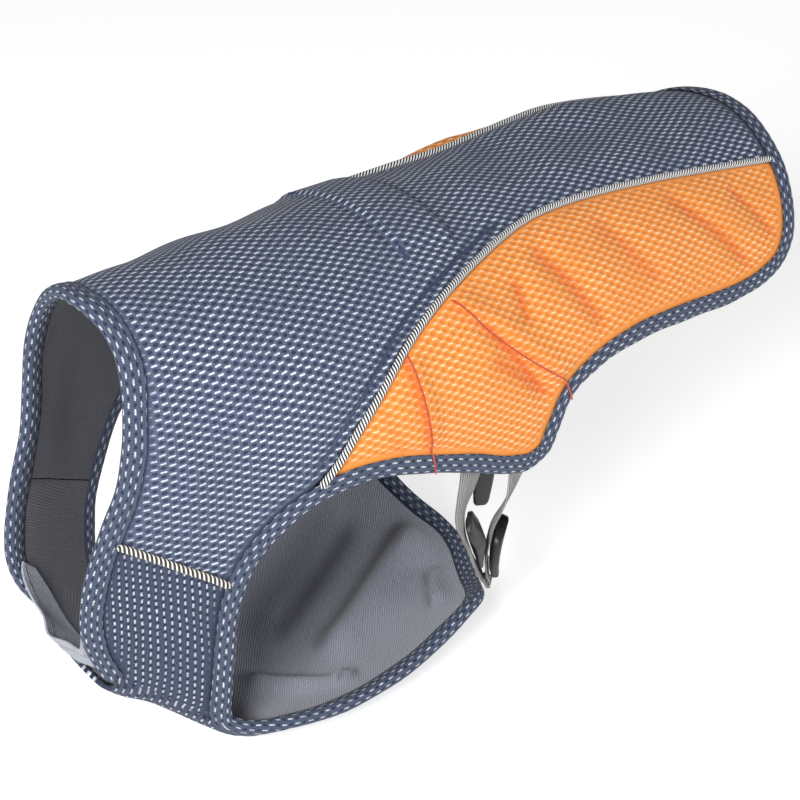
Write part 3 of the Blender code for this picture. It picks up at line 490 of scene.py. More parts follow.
def joined(*parts: np.ndarray) -> np.ndarray:
    """Lines joined end to start."""
    return np.concatenate([parts[0]] + [p[1:] for p in parts[1:]])


def pinned(line: np.ndarray, start: np.ndarray, end: np.ndarray) -> np.ndarray:
    """The line with its ends moved onto shared corners."""
    t = np.linspace(0, 1, len(line))[:, None]
    return line + (start - line[0]) * (1 - t)**3 + (end - line[-1]) * t**3


@dataclass(frozen=True)
class Counts:
    """Cells along the borders of the panels."""

    tape: int = 22
    leg: int = 24
    side: int = 160
    across: int = 56
    down: int = 28
    plate: int = 64
    rear: int = 26


class Cut:
    """Borders and grids of every panel in the plane of its cloth, left half."""

    def __init__(self, form: VestForm, n: Counts) -> None:
        """Args:
            form: the worn form.
            n: cells along the borders.
        """
        self.form, self.n = form, n
        tube = form.tube
        self.neck = Line(tube, form.from_side(NECK_EDGE))
        self.outer = Line(tube, form.from_side(OUTER_EDGE))
        self.piping = Line(tube, PIPING)
        self.tape = Line(tube, form.from_side(TAPE_SEAM))
        self.plate = Line(form.floor, form.at_height(PLATE_START) + PLATE_EDGE, -1.0)
        self._stations()
        self._back()
        self._flank()
        self._chest()
        self._lining()

    def _stations(self) -> None:
        """Stations that neighbouring pieces share."""
        outer_in, neck_in = self.outer.moved(IN), self.neck.moved(IN)
        self.s_tape = meeting(outer_in, self.tape.line)[0]
        ahead = int(self.s_tape) + 4
        s_pipe, self.p_front = meeting(outer_in[ahead:], self.piping.line)
        self.s_pipe = s_pipe + ahead
        half = int(self.outer.nearest(self.form.from_side([LOBE_END])[0]))
        s_tail, self.p_rear = meeting(outer_in[half:], self.piping.line)
        self.s_tail = s_tail + half
        s_corner = self.outer.nearest(self.form.from_side([FLANK_CORNER])[0])
        room = PIPING_RADIUS - 0.2
        above, under = self.piping.moved(room), self.piping.moved(-room)
        up_front, up_rear = meeting(outer_in[ahead:], above), meeting(outer_in[half:], above)
        low_front, low_rear = meeting(outer_in, under), meeting(outer_in[half:], under)
        self.up = (up_front[0] + ahead, up_rear[0] + half)
        self.low = (low_front[0], low_rear[0] + half)
        self.rope_up = np.linspace(up_front[1], up_rear[1], self.n.side + 1)
        self.rope_low = np.linspace(low_front[1], low_rear[1], self.n.side + 1)
        self.n_tape = meeting(neck_in, self.tape.line)[0]
        self.room = room
        self.t_front = meeting(self.tape.line, neck_in)[0]
        self.t_rear = meeting(self.tape.line, outer_in)[0]
        self.f_corner = self.plate.nearest(PLATE_CORNER)
        self.f_mid = self.plate.nearest(PLATE_REAR)
        n = self.n
        self.down = np.linspace(0, self.s_tape, n.down + 1)
        self.leg = np.linspace(self.s_tape, self.s_pipe, n.leg + 1)
        self.flank = np.linspace(self.s_pipe, s_corner, n.side + 1)
        self.rear = np.linspace(s_corner, self.s_tail, n.across + 1)
        self.tail = np.linspace(self.s_tail, len(self.outer.line) - 1.0, n.across + 1)
        self.collar = np.linspace(0, self.n_tape, n.across + 1)
        self.throat = np.linspace(self.n_tape, len(self.neck.line) - 1.0, n.down + 1)
        self.side_edge = self.f_corner * np.linspace(0, 1, n.plate + 1)**1.3
        self.rear_edge = np.linspace(self.f_corner, self.f_mid, n.rear + 1)
        self.shoulder = np.linspace(self.t_front, self.t_rear, n.tape + 1)
        self.s_corner = s_corner

    def _spine(self, lower: np.ndarray, first: float, last: float) -> np.ndarray:
        """Places on the spine over the columns of a lower border."""
        n, cut = self.n, np.linspace(0, 1, len(lower))
        run = np.interp(cut, [0, n.tape / len(lower), (n.tape + n.leg) / len(lower), 1],
                        [first, -56, -16, last])
        return np.stack([run, 0 * run], -1)

    def _back(self) -> None:
        """Grid of the back panel, from the spine to both lower borders."""
        outer, neck = self.outer, self.neck
        leg_line, tail_line = outer.at(self.leg, IN), outer.at(self.tail, IN)
        tail_line[-1, 1] = 0.0
        collar = neck.at(self.collar, IN)
        collar[0, 1] = 0.0
        collar[-1] = neck.at([self.n_tape - HAIR], IN)[0]
        leg_line[0] = outer.at([self.s_tape + HAIR], IN)[0]
        self.leg_line, self.tail_line, self.collar_line = leg_line, tail_line, collar
        self.tape_up = pinned(self.tape.at(self.shoulder, 0.3), collar[-1], leg_line[0])
        pipe_up, last = self.piping.at(self.rope_up, self.room), len(outer.line) - 1.0
        back_leg = outer.at(np.linspace(self.s_tape, self.up[0], self.n.leg + 1), IN)
        back_tail = outer.at(np.linspace(self.up[1], last, self.n.across + 1), IN)
        back_leg[0], back_tail[-1] = leg_line[0], tail_line[-1]
        pipe_up[0], pipe_up[-1] = back_leg[-1], back_tail[0]
        lower = joined(self.tape_up, back_leg, pipe_up)
        spine = self._spine(lower, collar[0, 0], tail_line[-1, 0])
        half = patch(spine, lower, collar, back_tail[::-1])
        self.back = np.concatenate([(half * Side.RIGHT.turn)[:0:-1], half])

    def _flank(self) -> None:
        """Grid of a flank panel, from the piping down to its bound edge."""
        outer, n = self.outer, self.n
        low = outer.at(np.linspace(self.low[0], self.s_corner, n.side + 1), IN)
        rear = outer.at(np.linspace(self.s_corner, self.low[1], n.across + 1), IN)
        top = self.piping.at(self.rope_low, -self.room)
        top[[0, -1]] = low[0], rear[-1]
        ends = np.repeat(low[:1], n.across + 1, axis=0)
        self.flank_grid = patch(top, low, ends, rear[::-1])

    def _chest(self) -> None:
        """Grids of a shoulder strip and of the belly part, which share the fold."""
        outer, neck, plate, form = self.outer, self.neck, self.plate, self.form

        def loose(stations: np.ndarray) -> np.ndarray:
            """Share of the corner's room that a station still takes."""
            return ease(1.6 - stations / 50.0)[:, None]

        throat, down = neck.at(self.throat, IN), outer.at(self.down, IN)
        down = down + (outer.at(self.down, IN + CORNER_ROOM) - down) * loose(self.down)
        throat[0] = neck.at([self.n_tape + HAIR], IN)[0]
        down[-1] = outer.at([self.s_tape - HAIR], IN)[0]
        tape_down = pinned(self.tape.at(self.shoulder, -0.3), throat[0], down[-1])
        t = np.linspace(0, 1, self.n.tape + 1)[:, None]
        fold = throat[-1] * (1 - t) + down[0] * t
        self.strip = patch(tape_down, fold, throat, down[::-1])
        side = plate.at(self.side_edge, IN)
        side += (plate.at(self.side_edge, IN + CORNER_ROOM) - side) * loose(self.side_edge)
        side[0] = form.to_floor(down[:1])[0]
        rear = plate.at(self.rear_edge, IN)
        rear[-1, 1] = 0.0
        left = joined(form.to_floor(fold), side)
        rear_all = joined(rear, (rear * Side.RIGHT.turn)[::-1])
        gate = form.to_floor(throat[-1:])[0]
        y = np.linspace(gate[1], -gate[1], 2 * self.n.rear + 1)
        front = np.stack([gate[0] - CHEST_FRONT_BOW * (1 - (y / gate[1])**2), y], -1)
        self.block = patch(left, left * Side.RIGHT.turn, front, rear_all)

    def _lining(self) -> None:
        """Grid of the body lining, which runs under back and flanks as one cut."""
        lower = joined(self.tape_up, self.leg_line, self.outer.at(self.flank, IN))
        spine = self._spine(lower, self.collar_line[0, 0], self.tail_line[-1, 0])
        rear = joined(self.outer.at(self.rear, IN), self.tail_line)[::2][::-1]
        half = patch(spine, lower, self.collar_line, rear)
        self.lining = np.concatenate([(half * Side.RIGHT.turn)[:0:-1], half])


class Relief:
    """Height of the cloth over the worn form, and the painted shade and plainness that its finish
    reads.
    """

    def __init__(self, cut: Cut) -> None:
        """Args:
            cut: borders that the cloth is sewn to.
        """
        self.rim = cut.outer.moved(BINDING_WIDTH)[::2]
        self.collar = cut.neck.moved(BINDING_WIDTH)[::2]
        self.pipe = cut.piping.line[int(cut.p_front):int(cut.p_rear):2]
        self.shoulder = cut.tape.line[::2]
        self.belly_rim = cut.plate.moved(BINDING_WIDTH)[::2]
        whole = cut.piping.moved(CHANNEL)
        self.channel = whole[int(cut.p_front) + 14:int(np.argmax(whole[:, 0] > CHANNEL_END))]
        rng = np.random.default_rng(11)
        self.waves = [(rng.uniform(0, 2 * math.pi), 2 * math.pi / rng.uniform(34, 110),
                       rng.uniform(0, 2 * math.pi)) for _ in range(12)]

    @staticmethod
    def away(places: np.ndarray, line: np.ndarray) -> np.ndarray:
        """Least distance from places to a line's points."""
        flat = (np.abs(places) * [0, 1] + places * [1, 0]).reshape(-1, 2)
        out = np.empty(len(flat))
        for k in range(0, len(flat), 4096):
            gap = flat[k:k + 4096, None] - line[None]
            out[k:k + 4096] = np.sqrt((gap**2).sum(-1).min(1))
        return out.reshape(places.shape[:-1])

    def uneven(self, places: np.ndarray) -> np.ndarray:
        """Slow unevenness of soft cloth, about one in size."""
        h = np.zeros(places.shape[:-1])
        for heading, rate, phase in self.waves:
            h += np.sin((places[..., 0] * math.cos(heading)
                         + places[..., 1] * math.sin(heading)) * rate + phase)
        return h / 3.0

    @staticmethod
    def folds(panel: str, places: np.ndarray) -> tuple[np.ndarray, np.ndarray]:
        """Tucks and folds of a panel.

        Args:
            panel: its name in the table.
            places: left side places.

        Returns:
            Height out of the cloth, and painted shade of the troughs from 0 to 1.
        """
        x, d = places[..., 0], places[..., 1]
        h, shade = np.zeros(x.shape), np.zeros(x.shape)
        for name, x0, d0, x1, d1, wide, high, steep, dark in FOLDS:
            if name != panel:
                continue
            size = math.hypot(x1 - x0, d1 - d0)
            rx, rd = (x1 - x0) / size, (d1 - d0) / size
            t = ((x - x0) * rx + (d - d0) * rd) / size
            off = (x - x0) * rd - (d - d0) * rx
            fade = ease(np.minimum(t + 0.12, 1.12 - t) / 0.24)
            h += high * fade * bell(off * np.where(off < 0, 1 + steep, 1), wide)
            # painted shade: at the foot of a ridge's steep side, or along a trough
            foot = -1.1 * wide / (1 + steep) if high > 0 else 0.0
            shade = np.maximum(shade, dark * fade * bell(off - foot, wide * 0.42))
        return h, shade

    def back(self, places: np.ndarray) -> tuple[np.ndarray, np.ndarray]:
        """Height of the back panel, and its painted shade and plainness.

        Args:
            places: places of either side.

        Returns:
            Height over the form, and its painted shade and plainness.
        """
        left = np.abs(places) * [0, 1] + places * [1, 0]
        rim = np.minimum(self.away(places, self.rim), self.away(places, self.collar))
        pipe, channel = self.away(places, self.pipe), self.away(places, self.channel)
        seam = self.away(places, self.shoulder)
        h, _ = self.folds("back", left)
        h += 0.45 * self.uneven(places) * ease(rim / 12)
        h -= 0.8 * bell(rim, 4.0) + 0.5 * bell(pipe - 1.5, 3.0)
        h -= 0.8 * bell(channel, 2.6) + 0.4 * bell(seam, 3.0)
        edge = np.minimum(left[..., 0] - FLAP_X[0], FLAP_X[1] - left[..., 0])
        far = -places[..., 1]
        h += BAND_RISE * ease(edge / 7) * ease((far - 33) / 9) * (1 - ease((far - 47) / 8))
        # painted shade along the binding's inner edge and in the quilting crease
        shade = np.maximum(0.55 * bell(rim, 1.6), 0.7 * bell(channel, 1.3))
        x, d = left[..., 0], left[..., 1]
        # painted shade along the creases at the band's seams
        crease = np.minimum(np.abs(x - FLAP_X[0] - 1.2), np.abs(FLAP_X[1] - 1.2 - x))
        crease = 0.5 * bell(crease, 1.3) * ease((FLAP_HALF - 4 - d) / 6)
        plain = np.maximum(ease(1.4 - rim / 2.5), ease(1.2 - channel / 1.0))
        return h, np.stack([np.maximum(shade, crease), plain], -1)

    def flank(self, places: np.ndarray, side: Side) -> tuple[np.ndarray, np.ndarray]:
        """Height of a flank panel, and its painted shade and plainness."""
        rim, pipe = self.away(places, self.rim), self.away(places, self.pipe)
        h, shade = self.folds("side", places)
        inner = ease(np.minimum(rim, pipe - 1.5) / 9.0)
        h = h * (0.35 + 0.65 * inner) + 0.3 * self.uneven(places * side.turn) * inner
        if side is Side.RIGHT:
            h += inner * (0.8 + FAR_PUFF * bell(places[..., 0] - 138, 26))
        h -= 0.7 * bell(rim, 3.5) + 0.5 * bell(pipe - 1.5, 2.5)
        plain = np.maximum(ease(1.4 - rim / 3.0), ease(1.2 - (pipe - 1.6) / 2.2))
        return h, np.stack([shade, plain], -1)

    def strip(self, places: np.ndarray) -> tuple[np.ndarray, np.ndarray]:
        """Height of a shoulder strip of the chest panel, and its painted shade and plainness."""
        rim = np.minimum(self.away(places, self.rim), self.away(places, self.collar))
        seam = self.away(places, self.shoulder)
        h = 0.25 * self.uneven(places) * ease(rim / 12)
        h -= 0.8 * bell(rim, 4.0) + 0.4 * bell(seam, 3.0)
        # painted shade along the binding's inner edge
        return h, np.stack([0.5 * bell(rim, 1.6), ease(1.4 - rim / 2.5)], -1)

    def belly(self, places: np.ndarray) -> tuple[np.ndarray, np.ndarray]:
        """Height of the belly part, and its painted shade and plainness."""
        rim = self.away(places, self.belly_rim)
        h = -0.8 * bell(rim, 4.0)
        # painted shade along the binding's inner edge
        return h, np.stack([0.5 * bell(rim, 1.6), ease(1.4 - rim / 2.5)], -1)


# ---- finishes ------------------------------------------------------------------------------
def linear(code: str) -> tuple[float, float, float, float]:
    """Turns an sRGB hex colour to linear values.

    Args:
        code: six hex digits.

    Returns:
        Red, green, blue and 1.
    """
    values = [int(code[k:k + 2], 16) / 255 for k in (0, 2, 4)]
    return (*(v / 12.92 if v <= 0.04045 else ((v + 0.055) / 1.055)**2.4 for v in values), 1.0)


class Bench:
    """A material's nodes while they are put together."""

    def __init__(self, name: str) -> None:
        """Args:
            name: the material's name.
        """
        self.material = bpy.data.materials.new(name)
        self.material.use_nodes = True
        self.nodes = self.material.node_tree.nodes
        self.shader = self.nodes["Principled BSDF"]

    def add(self, kind: str, links: dict | None = None, out: int = 0,
            **settings: object) -> Socket:
        """Adds a node.

        Args:
            kind: its type, after the common first word.
            links: sockets or values for its inputs, by index or name.
            out: index of the output that is wanted.
            settings: its properties.

        Returns:
            The output socket.
        """
        node = self.nodes.new("ShaderNode" + kind)
        for key, value in settings.items():
            setattr(node, key, value)
        for key, value in (links or {}).items():
            if isinstance(value, Socket):
                self.material.node_tree.links.new(value, node.inputs[key])
            else:
                node.inputs[key].default_value = value
        return node.outputs[out]

    def math(self, operation: str, *values: Socket | float, clamp: bool = False) -> Socket:
        """Adds arithmetic on sockets or numbers."""
        return self.add("Math", dict(enumerate(values)), operation=operation, use_clamp=clamp)

    def vector(self, operation: str, *values: Socket | tuple, out: int = 0) -> Socket:
        """Adds vector arithmetic on sockets or triples."""
        return self.add("VectorMath", dict(enumerate(values)), out, operation=operation)

    def mix(self, share: Socket | float, low: Socket | str, high: Socket | str) -> Socket:
        """Mixes two colours, each a socket or an sRGB hex code."""
        low, high = (linear(v) if isinstance(v, str) else v for v in (low, high))
        return self.add("Mix", {0: share, 6: low, 7: high}, 2, data_type="RGBA")

    def ramp(self, value: Socket, start: float, stop: float, low: float = 0.0,
             high: Socket | float = 1.0, smooth: bool = False) -> Socket:
        """Carries the range from start to stop over to low and high."""
        return self.add("MapRange", {0: value, 1: start, 2: stop, 3: low, 4: high},
                        interpolation_type="SMOOTHSTEP" if smooth else "LINEAR")

    def done(self, links: dict) -> bpy.types.Material:
        """Sets the shader's sockets by name, to a socket or a value, and gives the material."""
        for key, value in links.items():
            if isinstance(value, Socket):
                self.material.node_tree.links.new(value, self.shader.inputs[key])
            else:
                self.shader.inputs[key].default_value = value
        return self.material


@dataclass(frozen=True)
class SpacerMesh:
    """Polyester spacer mesh, warp knitted: shiny floats lie in a brick lattice over small open
    holes, so the eye sees rows of pale dashes on a darker, dull ground. The holes, and the
    grooves, creases and troughs, get painted shade."""

    name: str
    ground: str
    float_yarn: str
    # colour of the open holes, which is painted shade
    shaded_hole: str
    # colour of the painted shade in grooves, creases and troughs
    deep: str
    cell: tuple[float, float] = (7.1, 4.0)      # mm, two floats in each cell
    dash: tuple[float, float] = (1.9, 1.0)      # mm, straight part and thickness of a float
    opening: tuple[float, float] = (1.15, 0.8)  # mm, half sizes of the openings, which are darkened with painted shade
    strength: float = 0.85
    specks: float = 0.9                         # share of dark specks between the floats
    even: float = 0.4                           # least brightness of a float
    bump: float = 0.5
    sheen: float = 0.05

    def dress(self) -> bpy.types.Material:
        """Makes the material."""
        b = Bench(self.name)
        wide, tall = self.cell
        uv = b.add("UVMap", uv_map="cloth")
        mm = b.vector("MULTIPLY", uv, (1000.0, 1000.0, 0.0))
        sway = b.add("TexNoise", {"Vector": mm, "Scale": 0.11, "Detail": 1.0}, out=1)
        sway = b.vector("SUBTRACT", sway, (0.5, 0.5, 0.5))
        bent = b.vector("MULTIPLY_ADD", sway, (1.3, 1.3, 0.0), mm)
        place = b.vector("DIVIDE", bent, (wide, tall, 1.0))
        cells, axes = [], []
        for shift in (0.0, 0.5):
            moved = b.vector("ADD", place, (shift, shift, 0.0))
            part = b.vector("FRACTION", moved)
            part = b.vector("SUBTRACT", part, (0.5, 0.5, 0.0))
            part = b.vector("ABSOLUTE", part)
            part = b.vector("MULTIPLY", part, (wide, tall, 0.0))
            cells.append(part)
            split = b.add("SeparateXYZ", {0: part}).node
            axes.append((split.outputs[0], split.outputs[1]))
        gaps = []
        for part in cells:
            end = b.vector("SUBTRACT", part, (self.dash[0] / 2, 0.0, 0.0))
            end = b.vector("MAXIMUM", end, (0.0, 0.0, 0.0))
            gaps.append(b.vector("LENGTH", end, out=1))
        near = b.math("MINIMUM", gaps[0], gaps[1])
        half = self.dash[1] / 2
        dash = b.ramp(near, half * 1.5, half * 0.45, smooth=True)
        rounds = []
        for x, y in ((axes[1][0], axes[0][1]), (axes[0][0], axes[1][1])):
            cross = b.add("CombineXYZ", {0: x, 1: y})
            cross = b.vector("DIVIDE", cross, (*self.opening, 1.0))
            rounds.append(b.vector("LENGTH", cross, out=1))
        rim = b.math("MINIMUM", rounds[0], rounds[1])
        shaded_hole = b.ramp(rim, 1.35, 0.55, smooth=True)
        # second map: painted shade in grooves, creases and troughs, and plainness where the
        # floats give out
        marks = b.add("SeparateXYZ", {0: b.add("UVMap", uv_map="marks")}).node
        shade, plain = marks.outputs[0], marks.outputs[1]
        wear = b.add("TexNoise", {"Vector": mm, "Scale": 0.035, "Detail": 2.0})
        yarn = b.add("TexNoise", {"Vector": mm, "Scale": 1.9, "Detail": 2.0,
                                  "Roughness": 0.7})
        show = b.ramp(wear, 0.35, 0.65, self.strength * 0.62, self.strength)
        keep = b.math("SUBTRACT", 1.0, plain, clamp=True)
        show = b.math("MULTIPLY", show, keep)
        lit = b.ramp(yarn, 0.36, 0.6, 1.0, self.even)
        dashes = b.math("MULTIPLY", dash, show)
        dashes = b.math("MULTIPLY", dashes, lit, clamp=True)
        # painted shade in the open holes
        painted_pit_shade = b.math("MULTIPLY", shaded_hole, keep)
        painted_pit_shade = b.math("MULTIPLY", painted_pit_shade, 0.85)
        # dark specks, at random, mixed from the ground and the painted shade colour of the holes
        dark = b.mix(0.8, self.ground, self.shaded_hole)
        fuzz = b.ramp(yarn, 0.38, 0.64, 0.0, self.specks)
        base = b.mix(fuzz, self.ground, dark)
        base = b.mix(painted_pit_shade, base, self.shaded_hole)
        base = b.mix(dashes, base, self.float_yarn)
        # painted shade from the second map
        base = b.mix(shade, base, self.deep)
        high = b.math("SUBTRACT", dash, shaded_hole)
        high = b.math("MULTIPLY", high, keep)
        high = b.math("MULTIPLY_ADD", yarn, 0.35, high)
        relief = b.add("Bump", {"Strength": 0.9, "Distance": self.bump * MM,
                                "Height": high})
        rough = b.ramp(dashes, 0.0, 1.0, 0.85, 0.5)
        return b.done({"Base Color": base, "Roughness": rough, "Normal": relief,
                       "Sheen Weight": self.sheen, "Sheen Roughness": 0.5,
                       "Specular IOR Level": 0.3})


@dataclass(frozen=True)
class RibKnit:
    """Fine polyester rib knit: close soft ridges with a dull face, so the eye sees hair lines
    that run one way and a little mottling. Folds and the lining's inner parts get painted shade,
    mixed toward its deep colour."""

    name: str
    ridge: str
    furrow: str
    # colour of painted shade in folds and inner parts
    deep: str = "2E303C"
    pitch: float = 1.15                       # mm between ridges
    heading: float = 0.0                      # degrees of the ridges in the cloth
    bump: float = 0.25
    contrast: float = 0.75

    def dress(self) -> bpy.types.Material:
        """Makes the material."""
        b = Bench(self.name)
        uv = b.add("UVMap", uv_map="cloth")
        turned = b.add("Mapping", {"Vector": uv, "Rotation": (0, 0, math.radians(self.heading)),
                                   "Scale": (1000.0, 1000.0, 1.0)})
        warp = b.add("TexNoise", {"Vector": turned, "Scale": 0.07, "Detail": 2.0}, out=1)
        warp = b.vector("MULTIPLY_ADD", warp, (1.8, 1.8, 0.0), turned)
        split = b.add("SeparateXYZ", {0: warp}).node
        beat = b.math("MULTIPLY", split.outputs[1], 2 * math.pi / self.pitch)
        ridge = b.math("SINE", beat)
        stitch = b.math("MULTIPLY", split.outputs[0], 2 * math.pi / (self.pitch * 0.8))
        stitch = b.math("SINE", stitch)
        ridge = b.math("MULTIPLY_ADD", stitch, 0.3, ridge)
        grain = b.add("TexNoise", {"Vector": turned, "Scale": 0.9, "Detail": 4.0,
                                   "Roughness": 0.65})
        share = b.ramp(ridge, -1.2, 1.2, 0.0, self.contrast)
        mottle = b.ramp(grain, 0.3, 0.7, -0.25, 0.35)
        share = b.math("ADD", share, mottle, clamp=True)
        base = b.mix(share, self.furrow, self.ridge)
        # painted shade from the second map
        marks = b.add("SeparateXYZ", {0: b.add("UVMap", uv_map="marks")})
        base = b.mix(marks, base, self.deep)
        high = b.math("MULTIPLY_ADD", grain, 0.8, ridge)
        relief = b.add("Bump", {"Strength": 0.6, "Distance": self.bump * MM, "Height": high})
        rough = b.ramp(share, 0.0, 1.0, 0.95, 0.8)
        return b.done({"Base Color": base, "Roughness": rough, "Normal": relief,
                       "Sheen Weight": 0.2, "Sheen Roughness": 0.6})


@dataclass(frozen=True)
class TwistedCord:
    """Round cord of polyester strands laid up in a spiral, light and dark by turns, so the
    eye sees a candy stripe with a shadow between the strands."""

    name: str
    light: str
    dark: str
    lead: float = 6.5                         # mm of one whole turn of a strand, signed
    strands: int = 8

    def dress(self) -> bpy.types.Material:
        """Makes the material."""
        b = Bench(self.name)
        split = b.add("SeparateXYZ", {0: b.add("UVMap", uv_map="cloth")}).node
        along = b.math("MULTIPLY", split.outputs[0], -1000.0 * self.strands / self.lead)
        phase = b.math("MULTIPLY_ADD", split.outputs[1], float(self.strands), along)
        turn = b.math("MULTIPLY", phase, math.pi)
        wave = b.math("COSINE", turn)
        place = b.add("TexCoord", out=3)
        hair = b.add("TexNoise", {"Vector": place, "Scale": 2600.0, "Detail": 3.0,
                                  "Roughness": 0.7})
        share = b.ramp(wave, 0.1, 0.5, smooth=True)
        dull = b.ramp(hair, 0.3, 0.7, 0.75, 1.0)
        share = b.math("MULTIPLY", share, dull)
        base = b.mix(share, self.dark, self.light)
        relief = b.add("Bump", {"Strength": 0.4, "Distance": 0.15 * MM, "Height": hair})
        rough = b.ramp(share, 0.0, 1.0, 0.75, 0.55)
        return b.done({"Base Color": base, "Roughness": rough, "Normal": relief,
                       "Sheen Weight": 0.15})


@dataclass(frozen=True)
class Webbing:
    """Plain woven polyester webbing: ribs run along it and fine picks cross them, so the eye
    sees a dull grey tape with thin light lines lengthwise."""

    name: str
    light: str
    dark: str
    rib: float = 1.5                          # mm between ribs
    pick: float = 0.9                         # mm between picks

    def dress(self) -> bpy.types.Material:
        """Makes the material."""
        b = Bench(self.name)
        split = b.add("SeparateXYZ", {0: b.add("UVMap", uv_map="cloth")}).node
        waves = []
        for socket, size in ((0, self.pick), (1, self.rib)):
            turn = b.math("MULTIPLY", split.outputs[socket], 2000 * math.pi / size)
            waves.append(b.math("SINE", turn))
        weave = b.math("MULTIPLY_ADD", waves[0], 0.4, waves[1])
        place = b.add("TexCoord", out=3)
        hair = b.add("TexNoise", {"Vector": place, "Scale": 1500.0, "Detail": 4.0,
                                  "Roughness": 0.7})
        share = b.ramp(weave, -1.1, 1.1, 0.0, 0.8)
        mottle = b.ramp(hair, 0.3, 0.7, -0.2, 0.3)
        share = b.math("ADD", share, mottle, clamp=True)
        base = b.mix(share, self.dark, self.light)
        relief = b.add("Bump", {"Strength": 0.7, "Distance": 0.2 * MM, "Height": weave})
        rough = b.ramp(share, 0.0, 1.0, 0.9, 0.7)
        return b.done({"Base Color": base, "Roughness": rough, "Normal": relief,
                       "Sheen Weight": 0.2})


@dataclass(frozen=True)
class MouldedPlastic:
    """Acetal, injection moulded and finely spark textured, so the eye sees a dense black with
    a soft, slightly broken highlight."""

    name: str
    colour: str
    worn: str

    def dress(self) -> bpy.types.Material:
        """Makes the material."""
        b = Bench(self.name)
        place = b.add("TexCoord", out=3)
        grit = b.add("TexNoise", {"Vector": place, "Scale": 3200.0, "Detail": 2.0})
        scuff = b.add("TexNoise", {"Vector": place, "Scale": 160.0, "Detail": 5.0,
                                   "Roughness": 0.7})
        share = b.ramp(scuff, 0.45, 0.8, 0.0, 0.7)
        base = b.mix(share, self.colour, self.worn)
        rough = b.ramp(scuff, 0.3, 0.7, 0.34, 0.5)
        relief = b.add("Bump", {"Strength": 0.35, "Distance": 0.08 * MM, "Height": grit})
        return b.done({"Base Color": base, "Roughness": rough, "Normal": relief, "IOR": 1.48})


@dataclass(frozen=True)
class Thread:
    """Spun polyester sewing thread, twisted, so the eye sees a small soft gleam."""

    name: str
    light: str
    dark: str

    def dress(self) -> bpy.types.Material:
        """Makes the material."""
        b = Bench(self.name)
        place = b.add("TexCoord", out=3)
        ply = b.add("TexNoise", {"Vector": place, "Scale": 1800.0, "Detail": 2.0})
        share = b.ramp(ply, 0.35, 0.65)
        base = b.mix(share, self.dark, self.light)
        relief = b.add("Bump", {"Strength": 0.5, "Distance": 0.1 * MM, "Height": ply})
        return b.done({"Base Color": base, "Roughness": 0.6, "Normal": relief,
                       "Sheen Weight": 0.1})


# ---- making of meshes ------------------------------------------------------------------------
def laid(points: np.ndarray, maps: dict[str, np.ndarray],
         outward: np.ndarray | None = None) -> bpy.types.Mesh:
    """Lays a grid over points.

    Args:
        points: rows, columns and x, y, z in millimetres.
        maps: names of UV maps and their rows, columns and u, v.
        outward: direction that the middle cell faces.

    Returns:
        The mesh in metres.
    """
    rows, cols = points.shape[:2]
    bm = bmesh.new()
    bmesh.ops.create_grid(bm, x_segments=cols - 1, y_segments=rows - 1, size=1.0)
    if outward is not None:
        j, i = rows // 2, cols // 2
        facing = np.cross(points[j, i] - points[j, i - 1], points[j, i] - points[j - 1, i])
        if facing @ outward < 0:
            bmesh.ops.reverse_faces(bm, faces=bm.faces)
    mesh = bpy.data.meshes.new("laid")
    bm.to_mesh(mesh)
    bm.free()
    flat = np.empty(3 * len(mesh.vertices), np.float32)
    mesh.vertices.foreach_get("co", flat)
    at = np.rint((flat.reshape(-1, 3)[:, :2] + 1) / 2 * (cols - 1, rows - 1)).astype(int)
    moved = points[at[:, 1], at[:, 0]] * MM
    mesh.vertices.foreach_set("co", moved.astype(np.float32).ravel())
    corner = np.empty(len(mesh.loops), np.int32)
    mesh.loops.foreach_get("vertex_index", corner)
    for name, uv in maps.items():
        layer = mesh.uv_layers.new(name=name)
        placed = uv[at[:, 1], at[:, 0]][corner]
        layer.data.foreach_set("uv", placed.astype(np.float32).ravel())
    mesh.update()
    return mesh


class Capping(Enum):
    """What is done with the open ends of a welded mesh."""

    NONE = "none"
    FILLED = "filled"


@dataclass
class Piece:
    """How a finished piece enters the scene."""

    name: str
    finish: bpy.types.Material
    slot: str
    nodes: tuple[str, ...] = ()
    thick: float = 0.0                        # mm of wall put on the inner side
    capping: Capping = Capping.NONE
    weld: float = 0.05                        # mm

    def made(self, meshes: list[bpy.types.Mesh]) -> bpy.types.Object:
        """Joins meshes to one object of the vest.

        Args:
            meshes: meshes in metres, used up.

        Returns:
            The object, riding on the vest.
        """
        bm = bmesh.new()
        for mesh in meshes:
            bm.from_mesh(mesh)
            bpy.data.meshes.remove(mesh)
        bmesh.ops.remove_doubles(bm, verts=bm.verts, dist=self.weld * MM)
        if self.capping is Capping.FILLED:
            edges = [e for e in bm.edges if e.is_boundary]
            bmesh.ops.holes_fill(bm, edges=edges, sides=0)
            bmesh.ops.recalc_face_normals(bm, faces=bm.faces)
        for face in bm.faces:
            face.smooth = True
        mesh = bpy.data.meshes.new(self.name)
        bm.to_mesh(mesh)
        bm.free()
        mesh.materials.append(self.finish)
        ob = bpy.data.objects.new(self.name, mesh)
        bpy.context.scene.collection.objects.link(ob)
        if self.thick:
            wall = ob.modifiers.new("wall", "SOLIDIFY")
            wall.thickness, wall.offset = self.thick * MM, -1.0
        else:
            mesh.set_sharp_from_angle(angle=math.radians(50))
        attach(ob, "root")
        if self.nodes:
            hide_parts(*self.nodes)
        LOG.info("%s: %d faces", self.name, len(mesh.polygons))
        return ob


